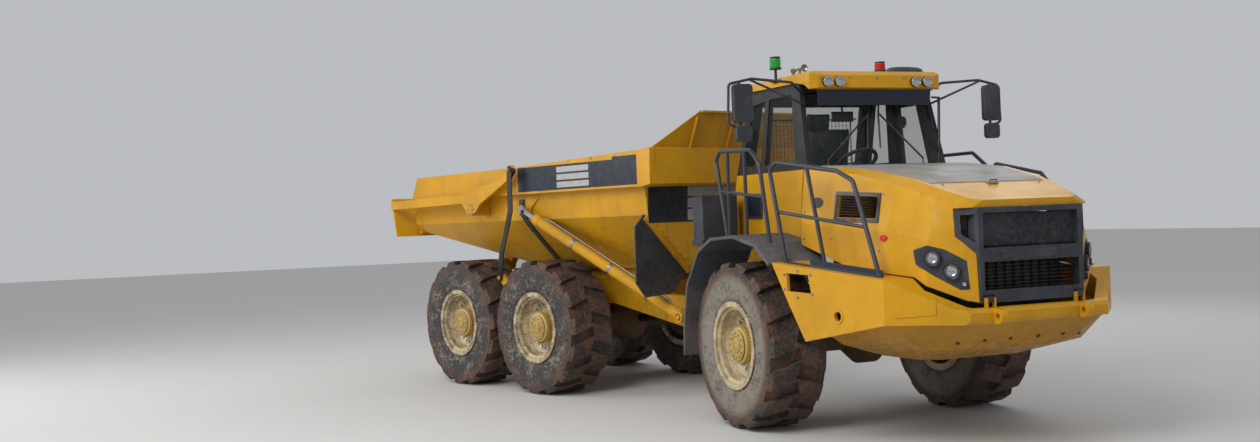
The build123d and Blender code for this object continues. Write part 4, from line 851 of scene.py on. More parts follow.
@dataclass
class Bench:
    """Turns drawn stock into finished pieces that ride on the machine's bodies."""

    palette: Palette
    bolts: Recipe = field(default_factory=bolt_recipe)
    bars: Recipe = field(default_factory=bar_recipe)
    surfaces: dict[str, BVHTree] = field(default_factory=dict)
    count: int = 0
    seat_reach: float = 3.0
    plate_sink: float = 0.002
    head_share: float = 0.8

    def seat(self, node: str, start: Point, towards: Point, unit: Unit = Unit.FRONT) -> Seat | None:
        """Find where a line from a point meets a CAD node.

        Args:
            node: the CAD node that carries the piece.
            start: where the line begins, in the unit's straight frame.
            towards: its direction in that frame.
            unit: the unit.

        Returns:
            The place met and the surface's outward direction, both in the straight frame, or None.
        """
        if node not in self.surfaces:
            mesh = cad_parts[node].data
            self.surfaces[node] = BVHTree.FromPolygons(
                [vertex.co for vertex in mesh.vertices], [tuple(face.vertices) for face in mesh.polygons])
        place = unit.place
        turned = place.to_3x3()
        line = (turned @ Vector(towards)).normalized()
        found, normal, _, _ = self.surfaces[node].ray_cast(place @ Vector(start), line, self.seat_reach)
        if found is None:
            LOG.warning("no seat on %s from %s", node, start)
            return None
        normal = normal if normal.dot(line) < 0 else -normal
        return place.inverted() @ found, turned.inverted() @ normal

    def seats(self, node: str, rays: Iterable[Ray], unit: Unit) -> list[Seat]:
        """Find the seats of all rays that meet a CAD node."""
        found = [self.seat(node, start, towards, unit) for start, towards in rays]
        return [seat for seat in found if seat]

    def finish(self, name: str, mesh: bpy.types.Mesh, fit: Fit) -> bpy.types.Object:
        """Place a mesh on the parked machine and hand it over.

        Args:
            name: the piece's name.
            mesh: its mesh in the unit's straight frame.
            fit: its finish, body, slot and unit.

        Returns:
            The piece.
        """
        body, slot = fit.body, fit.slot
        mesh.transform(fit.unit.place)
        mesh.materials.clear()
        mesh.materials.append(self.palette[fit.finish])
        piece = bpy.data.objects.new(name, mesh)
        bpy.context.scene.collection.objects.link(piece)
        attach(piece, body)
        self.count += 1
        LOG.info("built %s with %d faces", name, len(mesh.polygons))
        return piece

    def repeat(self, name: str, recipe: Recipe, places: list[Seat], sizes: dict[str, float],
               fit: Fit) -> None:
        """Put hardware on places by Geometry Nodes.

        Args:
            name: the piece's name.
            recipe: the tree to run.
            places: each copy's place and aim in the straight frame.
            sizes: the tree's sizes by name.
            fit: the piece's finish, body, slot and unit.
        """
        points = bpy.data.meshes.new(name + "_places")
        points.from_pydata([place for place, _ in places], [], [])
        aims = points.attributes.new("aim", "FLOAT_VECTOR", "POINT")
        aims.data.foreach_set("vector", [value for _, aim in places for value in aim])
        holder = bpy.data.objects.new(name + "_places", points)
        bpy.context.scene.collection.objects.link(holder)
        modifier = holder.modifiers.new(name, "NODES")
        modifier.node_group = recipe.group
        modifier[recipe.material_key] = self.palette[fit.finish]
        for size, value in sizes.items():
            modifier[recipe.size_keys[size]] = value
        graph = bpy.context.evaluated_depsgraph_get()
        mesh = bpy.data.meshes.new_from_object(holder.evaluated_get(graph), depsgraph=graph)
        holder.modifiers.remove(modifier)
        bpy.data.objects.remove(holder)
        mesh.name = name
        self.finish(name, mesh, fit)

    def lay(self, name: str, places: list[Seat], sizes: Point, fit: Fit) -> None:
        """Lay bars of one length, width and thickness on places, along their aims."""
        self.repeat(name, self.bars, places, dict(zip(("Length", "Width", "Thickness"), sizes)), fit)

    def bolt(self, name: str, node: str, rays: Iterable[Ray], head: float, fit: Fit) -> None:
        """Seat bolt heads on a CAD node.

        Args:
            name: the piece's name.
            node: the CAD node under them.
            rays: each bolt's start and direction towards the node.
            head: the heads' radius.
            fit: the piece's finish, body, slot and unit.
        """
        seats = self.seats(node, rays, fit.unit)
        if seats:
            self.repeat(name, self.bolts, seats, {"Head": head, "Height": head * self.head_share}, fit)

    def skin(self, name: str, node: str, corners: Sequence[Point], towards: Point, steps: tuple[int, int],
             thickness: float, fit: Fit, rounded: bool = False) -> None:
        """Lay a thin plate that follows a CAD node's surface.

        Args:
            name: the piece's name.
            node: the CAD node under it.
            corners: four points in order, above the surface, in the straight frame.
            towards: the direction from there to the surface.
            steps: divisions along the first and the second side.
            thickness: how far it stands proud.
            fit: the piece's finish, body, slot and unit.
            rounded: give it an oval outline within its corners.
        """
        first, second, third, fourth = (Vector(corner) for corner in corners)
        across, along = steps
        columns = []
        for i in range(across + 1):
            row = []
            for j in range(along + 1):
                u, v = 2 * i / across - 1, 2 * j / along - 1
                if rounded:
                    u, v = u * (1 - v * v / 2) ** 0.5, v * (1 - u * u / 2) ** 0.5
                s, t = (u + 1) / 2, (v + 1) / 2
                point = (first * (1 - s) + second * s) * (1 - t) + (fourth * (1 - s) + third * s) * t
                row.append(self.seat(node, point, towards, fit.unit))
            columns.append(row)
        if any(seat is None for row in columns for seat in row):
            LOG.warning("plate %s misses %s", name, node)
            return
        shape = bmesh.new()
        lift = -Vector(towards).normalized()
        tops = [[shape.verts.new(place + lift * thickness) for place, _ in row] for row in columns]
        feet = [[shape.verts.new(place - lift * self.plate_sink) for place, _ in row] for row in columns]
        for i in range(across):
            for j in range(along):
                shape.faces.new((tops[i][j], tops[i + 1][j], tops[i + 1][j + 1], tops[i][j + 1]))
                shape.faces.new((feet[i][j], feet[i][j + 1], feet[i + 1][j + 1], feet[i + 1][j]))
        rim = ([(i, 0) for i in range(across)] + [(across, j) for j in range(along)]
               + [(i, along) for i in range(across, 0, -1)] + [(0, j) for j in range(along, 0, -1)])
        for (i, j), (k, m) in zip(rim, rim[1:] + rim[:1]):
            shape.faces.new((tops[i][j], feet[i][j], feet[k][m], tops[k][m]))
        self.finish(name, self.mesh(name, shape), fit)

    @staticmethod
    def mesh(name: str, shape: bmesh.types.BMesh) -> bpy.types.Mesh:
        """Merge doubles and turn the faces outward.

        Args:
            name: the mesh's name.
            shape: the drawn shape, which is freed.

        Returns:
            The mesh.
        """
        bmesh.ops.remove_doubles(shape, verts=shape.verts, dist=MERGE_DISTANCE)
        bmesh.ops.recalc_face_normals(shape, faces=shape.faces)
        mesh = bpy.data.meshes.new(name)
        shape.to_mesh(mesh)
        shape.free()
        return mesh


@dataclass
class Stock:
    """Raw shapes gathered into one mesh, in a unit's straight frame."""

    shape: bmesh.types.BMesh = field(default_factory=bmesh.new)
    bevel_angle: float = radians(35)
    smooth_angle: float = radians(40)

    def ring(self, middle: Vector, aim: Vector, radius: float, sides: int) -> list[bmesh.types.BMVert]:
        """Set points on a circle.

        Args:
            middle: its middle.
            aim: the direction that it lies square to.
            radius: its radius.
            sides: how many points it gets.

        Returns:
            The points in order.
        """
        base = Vector((0, 0, 1)) if abs(aim.z) < 0.9 else Vector((1, 0, 0))
        one = aim.cross(base).normalized()
        two = aim.cross(one)
        return [self.shape.verts.new(middle + (one * cos(angle) + two * sin(angle)) * radius)
                for angle in around(sides)]

    def bridge(self, rings: list[list[bmesh.types.BMVert]]) -> None:
        """Join each ring of points to the next with faces.

        Args:
            rings: rings with as many points each.
        """
        for low, high in zip(rings, rings[1:]):
            for k in range(len(low)):
                n = (k + 1) % len(low)
                corners = list(dict.fromkeys((low[k], low[n], high[n], high[k])))
                if len(corners) > 2:
                    self.shape.faces.new(corners)

    def tube(self, points: Sequence[Point], radius: float, sides: int = 10) -> "Stock":
        """Bend a round bar along points.

        Args:
            points: the middle line.
            radius: the bar's radius.
            sides: faces around it.

        Returns:
            This stock, for more shapes.
        """
        line = [Vector(point) for point in points]
        rings = []
        for index, point in enumerate(line):
            before, after = line[max(index - 1, 0)], line[min(index + 1, len(line) - 1)]
            rings.append(self.ring(point, (after - before).normalized(), radius, sides))
        self.bridge(rings)
        self.shape.faces.new(rings[0][::-1])
        self.shape.faces.new(rings[-1])
        return self

    def turned(self, profile: Profile, at: Point, aim: Point, sides: int = 28, scale: float = 1.0) -> "Stock":
        """Turn a profile of (radius, distance along the axis) points; ends at radius 0 are closed.

        Args:
            profile: the outline from one end to the other.
            at: the axis' start.
            aim: its direction.
            sides: faces around it.
            scale: what the radii are multiplied by.

        Returns:
            This stock, for more shapes.
        """
        start, along = Vector(at), Vector(aim).normalized()
        rings = []
        for radius, far in profile:
            middle = start + along * far
            if radius == 0:
                rings.append([self.shape.verts.new(middle)] * sides)
            else:
                rings.append(self.ring(middle, along, radius * scale, sides))
        self.bridge(rings)
        return self

    def box(self, low: Point, high: Point) -> "Stock":
        """Add a straight block.

        Args:
            low: its lowest corner.
            high: its highest corner.

        Returns:
            This stock, for more shapes.
        """
        (a, b, c), (d, e, f) = low, high
        verts = [self.shape.verts.new(point) for point in (
            (a, b, c), (d, b, c), (d, e, c), (a, e, c), (a, b, f), (d, b, f), (d, e, f), (a, e, f))]
        for face in ((3, 2, 1, 0), (4, 5, 6, 7), (0, 1, 5, 4), (1, 2, 6, 5), (2, 3, 7, 6), (3, 0, 4, 7)):
            self.shape.faces.new([verts[index] for index in face])
        return self

    def sheet(self, outline: Sequence[Point], push: Point) -> "Stock":
        """Push a flat outline out into a plate.

        Args:
            outline: its points in order.
            push: how far and which way.

        Returns:
            This stock, for more shapes.
        """
        low = [self.shape.verts.new(point) for point in outline]
        high = [self.shape.verts.new(Vector(point) + Vector(push)) for point in outline]
        self.shape.faces.new(low[::-1])
        self.shape.faces.new(high)
        self.bridge([low, high])
        return self

    def make(self, bench: Bench, name: str, fit: Fit, bevel: float = 0.0, smooth: bool = False) -> None:
        """Finish the gathered shapes as one piece.

        Args:
            bench: the bench.
            name: the piece's name.
            fit: its finish, body, slot and unit.
            bevel: the edges' rounding.
            smooth: shade the faces smoothly.
        """
        if bevel:
            bmesh.ops.remove_doubles(self.shape, verts=self.shape.verts, dist=MERGE_DISTANCE)
            sharp = [edge for edge in self.shape.edges if len(edge.link_faces) == 2
                     and edge.calc_face_angle(0.0) > self.bevel_angle]
            bmesh.ops.bevel(self.shape, geom=sharp, offset=bevel, segments=2, affect="EDGES", profile=0.7)
        mesh = bench.mesh(name, self.shape)
        if smooth:
            mesh.shade_smooth()
            mesh.set_sharp_from_angle(angle=self.smooth_angle)
        bench.finish(name, mesh, fit)


@dataclass
class WheelTrim:
    """Rim bolts, planetary hub covers with their teeth, and valve stems on all six wheels."""

    bench: Bench
    seat_from: float = 0.5
    hub_reach: float = 0.245
    hub_circle: tuple[float, int, float] = (0.118, 12, 0.013)
    rim_circle: tuple[float, int, float] = (0.268, 22, 0.014)
    teeth: int = 36
    tooth: Point = (0.022, 0.014, 0.014)
    tooth_circle: float = 0.181
    tooth_back: float = 0.055
    cover_sink: float = 0.003
    cap: Profile = ((0.070, 0.0), (0.070, 0.012), (0.058, 0.018), (0.030, 0.020), (0.030, 0.014), (0, 0.014))
    flange: Profile = (
        (0.151, 0.0), (0.151, 0.006), (0.146, 0.009), (0.088, 0.009), (0.084, 0.004), (0.084, 0.0))
    flange_sides: int = 40
    valve_offset: float = 0.20
    valve_radius: float = 0.006
    valve_bends: tuple[Point, ...] = ((0.0, 0.0, 0.0), (0.004, 0.025, 0.004), (0.03, 0.055, 0.03))

    def build(self) -> None:
        """Dress every wheel."""
        for wheel in WHEELS:
            self.dress(wheel)

    def dress(self, wheel: Wheel) -> None:
        """Dress one wheel.

        Args:
            wheel: the wheel.
        """
        bench, name, sign, rim = self.bench, wheel.name, wheel.sign, wheel.piece("rim")
        x, middle, z = wheel.centre
        outward, inward = (0, sign, 0), (0, -sign, 0)
        far, face = middle + sign * self.seat_from, middle + sign * self.hub_reach
        steel, paint = (Fit(finish, wheel.piece("wheel"), "rim_paint", wheel.unit)
                        for finish in ("steel", "hub_paint"))
        for part, (radius, count, head) in (("hub", self.hub_circle), ("rim", self.rim_circle)):
            rays = [((x + radius * cos(angle), far, z + radius * sin(angle)), inward)
                    for angle in around(count)]
            bench.bolt(f"{name}_{part}_bolts", rim, rays, head, steel)
        root = Vector((x, face - sign * self.tooth_back, z))
        aims = [Vector((cos(angle), 0, sin(angle))) for angle in around(self.teeth)]
        teeth = [(root + aim * self.tooth_circle, aim) for aim in aims]
        bench.lay(f"{name}_hub_teeth", teeth, self.tooth, paint)
        foot = (x, face - sign * self.cover_sink, z)
        cover = Stock().turned(self.cap, foot, outward).turned(self.flange, foot, outward, self.flange_sides)
        cover.make(bench, f"{name}_hub_cap", paint, smooth=True)
        seat = bench.seat(rim, (x + self.valve_offset, far, z + self.valve_offset), inward, wheel.unit)
        if seat:
            bends = [seat[0] + Vector((a, sign * b, c)) for a, b, c in self.valve_bends]
            Stock().tube(bends, self.valve_radius, 8).make(bench, f"{name}_valve", steel, smooth=True)


@dataclass
class Headlights:
    """Reflector bowls, lenses and bezels in the two headlamp pods."""

    bench: Bench
    rounds: tuple[Point, ...] = ((-0.102, 0.071, 0.066), (0.048, -0.037, 0.068), (0.142, -0.140, 0.028))
    pod: Point = (2.400, 0.720, 1.560)
    pod_facing: tuple[float, float] = (0.747, 0.664)
    stand: float = 0.003
    bowl: Profile = ((0, 0.001), (0.3, 0.002), (0.50, 0.006), (0.60, 0.012), (0.60, 0.0))
    glass: Profile = ((0.90, 0.010), (0.8, 0.019), (0.5, 0.026), (0, 0.029))
    bezel: Profile = ((1.02, 0.0), (1.02, 0.012), (0.97, 0.018), (0.90, 0.016), (0.76, 0.010), (0.60, 0.006),
                      (0.60, 0.0))

    def build(self) -> None:
        """Fill both pods."""
        (x, y, z), (ahead, aside) = self.pod, self.pod_facing
        for side, sign in SIDES.items():
            origin = Vector((x, sign * y, z))
            along, out = Vector((-sign * aside, ahead, 0)), Vector((ahead, sign * aside, 0))
            bowls, glass, rings = Stock(), Stock(), Stock()
            for u, v, radius in self.rounds:
                at = origin + along * (-sign * u) + Vector((0, 0, v)) + out * self.stand
                bowls.turned(self.bowl, at, out, scale=radius)
                glass.turned(self.glass, at, out, scale=radius)
                rings.turned(self.bezel, at, out, 36, radius)
            for stock, part, finish in (
                    (bowls, "bowls", "reflector"), (glass, "glass", "clear_lens"),
                    (rings, "rings", "black_paint")):
                stock.make(self.bench, f"headlight_{part}_{side}", Fit(finish, "hood", "lamp"), smooth=True)


@dataclass
class RoofTrim:
    """Work lamps over the windscreen, beacons, horn and antenna dome on the cab's roof."""

    bench: Bench
    lamp_x: float = 0.451
    lamp_y: tuple[float, ...] = (-0.565, -0.430, 0.430, 0.565)
    lamp_z: float = 3.280
    lamp_radius: float = 0.050
    lamp_bowl: Profile = ((0, 0.002), (0.5, 0.003), (0.86, 0.008), (0.86, 0.0))
    lamp_bezel: Profile = ((1.03, 0.0), (1.03, 0.010), (0.9, 0.014), (0.87, 0.0))
    lamp_glass: Profile = ((0.88, 0.008), (0.6, 0.014), (0, 0.017))
    green_foot: Point = (-0.220, -0.755, 3.476)
    green_height: float = 0.120
    red_foot: Point = (0.0, 0.320, 3.438)
    red_height: float = 0.092
    beacon_radius: float = 0.0535
    beacon_ribs: int = 7
    rib: tuple[float, float] = (0.002, 0.003)
    ribbed_share: float = 0.85
    beacon_sides: int = 32
    beacon_edge: Profile = ((0.9, -0.004), (1.12, -0.004), (1.12, 0.010), (1.04, 0.014), (0.9, 0.014))
    horn: Profile = ((0, 0), (0.022, 0.0), (0.022, 0.05), (0.012, 0.07), (0.012, 0.15), (0.020, 0.20),
                     (0.038, 0.24), (0.034, 0.24), (0.0, 0.19))
    horn_at: Point = (-0.16, -0.60, 3.452)
    horn_feet: tuple[tuple[Point, Point], ...] = (
        ((-0.15, -0.615, 3.410), (-0.13, -0.585, 3.440)), ((-0.02, -0.612, 3.410), (-0.005, -0.588, 3.446)))
    dome_at: Point = (0.20, 0.475, 3.384)
    dome_half: tuple[float, float] = (0.075, 0.205)
    dome_height: tuple[float, float] = (0.030, 0.046)
    dome_steps: int = 12
    dome_arc: int = 8
    screw_y: tuple[float, ...] = (-0.62, -0.31, 0.0, 0.31, 0.62)
    screw_from: tuple[float, float] = (0.7, 3.320)
    screw_head: float = 0.008

    def build(self) -> None:
        """Set up everything on the roof."""
        bench, ahead = self.bench, (1, 0, 0)
        bowls, glass = Stock(), Stock()
        for y in self.lamp_y:
            at, radius = (self.lamp_x, y, self.lamp_z), self.lamp_radius
            for outline in (self.lamp_bowl, self.lamp_bezel):
                bowls.turned(outline, at, ahead, scale=radius)
            glass.turned(self.lamp_glass, at, ahead, scale=radius)
        bowls.make(bench, "roof_lamp_bowls", Fit("reflector", slot="lamp"), smooth=True)
        glass.make(bench, "roof_lamp_glass", Fit("clear_lens", slot="lamp"), smooth=True)
        self.beacon("green_beacon", self.green_foot, self.green_height, "green_lens")
        self.beacon("red_beacon", self.red_foot, self.red_height, "red_lens")
        horn = Stock().turned(self.horn, self.horn_at, ahead)
        for low, high in self.horn_feet:
            horn.box(low, high)
        horn.make(bench, "roof_horn", Fit("steel"), smooth=True)
        self.dome()
        x, z = self.screw_from
        bench.bolt("roof_fascia_screws", "cab_roof",
                   [((x, y, z), (-1, 0, 0)) for y in self.screw_y], self.screw_head, Fit("steel"))

    def dome(self) -> None:
        """Arch a flat dome across the roof, thinning to both ends."""
        dome, arc, rows = Stock(), self.dome_arc, []
        (x, y, z), (half_x, half_y), (wall, crown) = self.dome_at, self.dome_half, self.dome_height
        for i in range(self.dome_steps + 1):
            angle = pi * i / self.dome_steps
            middle, half = y - half_y * cos(angle), half_x * sin(angle) ** 0.6
            high = wall + crown * sin(angle) ** 0.5
            turns = [pi * k / arc for k in range(arc + 1)]
            rows.append([dome.shape.verts.new((x + half * cos(turn), middle, z + high * sin(turn)))
                         for turn in turns])
        dome.bridge(rows)
        for ends in (rows[0][::-1], rows[-1]):
            dome.shape.faces.new(ends)
        dome.make(self.bench, "antenna_dome", Fit("dark_plastic", slot="dark_plastic"), smooth=True)

    def beacon(self, name: str, foot: Point, height: float, finish: str) -> None:
        """A ribbed lens dome with its cap ring.

        Args:
            name: the beacon's name.
            foot: the middle of its lower edge.
            height: its height.
            finish: the lens' finish.
        """
        radius, (proud, drop), up = self.beacon_radius, self.rib, (0, 0, 1)
        outline = [(radius, 0.0)]
        for k in range(1, self.beacon_ribs):
            level = height * self.ribbed_share * k / self.beacon_ribs
            outline += [(radius + proud, level - drop), (radius, level)]
        outline += [(radius * 0.95, height * 0.90), (radius * 0.7, height * 0.98), (0, height)]
        lens = Stock().turned(outline, foot, up, self.beacon_sides)
        lens.make(self.bench, name, Fit(finish, slot="lamp"), smooth=True)
        ring = Stock().turned(self.beacon_edge, foot, up, self.beacon_sides, radius)
        ring.make(self.bench, name + "_ring", Fit("trim_black", slot="lamp"), smooth=True)


@dataclass
class CabTrim:
    """Wipers, screen pole, rear window guard, seat cushions and inner mirror of the cab."""

    bench: Bench
    wipers: tuple[tuple[str, tuple[float, float], tuple[float, float]], ...] = (
        ("wiper_right", (-0.56, 2.47), (-0.02, 2.98)), ("wiper_left", (0.52, 2.47), (0.10, 2.98)))
    arm_radius: float = 0.010
    blade_radius: float = 0.009
    lip_radius: float = 0.004
    glass_from: float = 0.9
    pole_bends: tuple[Point, ...] = ((0.350, 0.735, 2.453), (0.336, 0.754, 2.63), (0.300, 0.800, 3.146))
    pole_foot: tuple[Point, ...] = ((0.350, 0.735, 2.455), (0.30, 0.70, 2.44))
    pole_head: tuple[Point, ...] = ((0.300, 0.800, 3.140), (0.25, 0.745, 3.15))
    mirror: tuple[Point, Point] = ((0.115, -0.34, 2.92), (0.135, -0.10, 3.02))
    mirror_stem: tuple[Point, Point] = ((0.118, -0.23, 3.01), (0.126, -0.21, 3.22))
    guard_x: float = -0.872
    guard_z: tuple[float, float] = (2.55, 3.02)
    guard_half: float = 0.50
    guard_pitch: float = 0.045
    guard_wire: float = 0.004
    guard_stay: float = 0.10
    guard_radius: float = 0.010
    stay_radius: float = 0.008
    base_pad: tuple[Point, Point] = ((-0.345, 0.0, 2.200), (0.268, 0.272, 0.075))
    back_pad: tuple[Point, Point] = ((-0.600, 0.0, 2.555), (0.352, 0.252, 0.105))
    head_pad: tuple[Point, Point] = ((-0.715, 0.0, 2.985), (0.085, 0.130, 0.055))
    back_lean: float = radians(-77.0)
    pad_steps: int = 28
    pull: float = 0.05
    side_seam: float = 0.16
    middle_seam: float = 0.12
    seam_at: float = 0.45
    seam_half: float = 0.05

    def build(self) -> None:
        """Fit out the cab."""
        bench = self.bench
        for name, foot, tip in self.wipers:
            self.wiper(name, foot, tip)
        pole = Stock().tube(self.pole_bends, 0.014).tube(self.pole_foot, 0.012).tube(self.pole_head, 0.010)
        pole.make(bench, "screen_pole", Fit("rail_paint", slot="rail_paint"), smooth=True)
        self.rear_guard()
        self.seat()
        mirror = Stock().box(*self.mirror).box(*self.mirror_stem)
        mirror.make(bench, "inner_mirror", Fit("trim_black", slot="cab_trim"), bevel=0.004)

    def wiper(self, name: str, foot: tuple[float, float], tip: tuple[float, float]) -> None:
        """An arm from the cowl and its blade on the windscreen, whose places along X are found on the glass.

        Args:
            name: the wiper's name.
            foot: the Y and Z of the arm's start.
            tip: the Y and Z of its end on the blade.
        """
        (foot_y, foot_z), (tip_y, tip_z) = foot, tip
        rays = [((self.glass_from, y, z), (-1, 0, 0)) for y, z in (
            (foot_y, foot_z + 0.06), (tip_y, tip_z), (tip_y * 0.8 + 0.06, tip_z + 0.16),
            (tip_y * 1.2 - 0.06, tip_z - 0.34))]
        seats = self.bench.seats("cab_glass", rays, Unit.FRONT)
        if len(seats) < len(rays):
            return
        low, mid, top, base = (place for place, _ in seats)
        out, down = Vector((1, 0, 0.15)).normalized(), Vector((0, 0, 0.10))
        bends = [low - down + out * 0.03, low + out * 0.035, mid + out * 0.03]
        arm = Stock().tube(bends, self.arm_radius, 8)
        arm.turned([(0, 0), (0.02, 0), (0.02, 0.03), (0, 0.035)], low - down + out * 0.012, out)
        for radius, ends, middle in ((self.blade_radius, 0.016, 0.020), (self.lip_radius, 0.007, 0.008)):
            arm.tube([base + out * ends, mid + out * middle, top + out * ends], radius, 6)
        arm.make(self.bench, name, Fit("trim_black", slot="cab_trim"), smooth=True)

    def rear_guard(self) -> None:
        """A wire guard behind the rear window, made of crossed bars."""
        x, (low, high), half, pitch = self.guard_x, self.guard_z, self.guard_half, self.guard_pitch
        upright = [(Vector((x, -half + pitch * k, (low + high) / 2)), Vector((0, 0, 1)))
                   for k in range(int(2 * half / pitch) + 1)]
        level = [(Vector((x - self.guard_wire, 0, low + pitch * k)), Vector((0, 1, 0)))
                 for k in range(int((high - low) / pitch) + 1)]
        black = Fit("trim_black")
        for name, places, length in (("upright", upright, high - low), ("level", level, 2 * half)):
            self.bench.lay(f"rear_guard_{name}", places, (length, self.guard_wire, self.guard_wire), black)
        edge = [(x, -half, low), (x, half, low), (x, half, high), (x, -half, high), (x, -half, low)]
        guard = Stock().tube(edge, self.guard_radius, 8)
        for y in (-half, half):
            for z in (low, high):
                guard.tube([(x, y, z), (x + self.guard_stay, y, z)], self.stay_radius, 8)
        guard.make(self.bench, "rear_guard_frame", black, smooth=True)

    def seat(self) -> None:
        """Crowned cushions over the seat's base and back."""
        lean = Matrix.Rotation(self.back_lean, 3, "Y")
        level = Matrix.Identity(3)
        cushion = self.cushion("seat_cushion", *self.base_pad, level)
        back = self.cushion("seat_back", *self.back_pad, lean)
        rest = self.cushion("head_rest", *self.head_pad, lean)

    def cushion(self, name: str, middle: Point, half: Point, turn: Matrix) -> bpy.types.Object:
        """A crowned pad whose sides pull in between its corners, with sewn channels.

        Args:
            name: the pad's name.
            middle: its centre.
            half: half its length, its width and its thickness at the crown.
            turn: how it leans.

        Returns:
            The pad.
        """
        steps, shape, (length, width, thick) = self.pad_steps, bmesh.new(), half
        grids: list[list[list[bmesh.types.BMVert]]] = []
        for side in (1, -1):
            grid = []
            for i in range(steps + 1):
                row = []
                for j in range(steps + 1):
                    u, v = 2 * i / steps - 1, 2 * j / steps - 1
                    pull = 1 - self.pull * (1 - u ** 2) * v ** 6 - self.pull * (1 - v ** 2) * u ** 6
                    crown = ((1 - u ** 8) * (1 - v ** 8)) ** 0.5
                    across = self.side_seam * max(0.0, 1 - abs(abs(v) - self.seam_at) / self.seam_half)
                    along = self.middle_seam * max(0.0, 1 - abs(u) / self.seam_half)
                    high = side * thick * crown * (1 - across - along)
                    at = Vector((u * length * pull, v * width * pull, high))
                    row.append(shape.verts.new(turn @ at + Vector(middle)))
                grid.append(row)
            grids.append(grid)
        for grid in grids:
            for i in range(steps):
                for j in range(steps):
                    shape.faces.new((grid[i][j], grid[i + 1][j], grid[i + 1][j + 1], grid[i][j + 1]))
        mesh = self.bench.mesh(name, shape)
        mesh.shade_smooth()
        return self.bench.finish(name, mesh, Fit("seat_cloth", slot="cab_trim"))


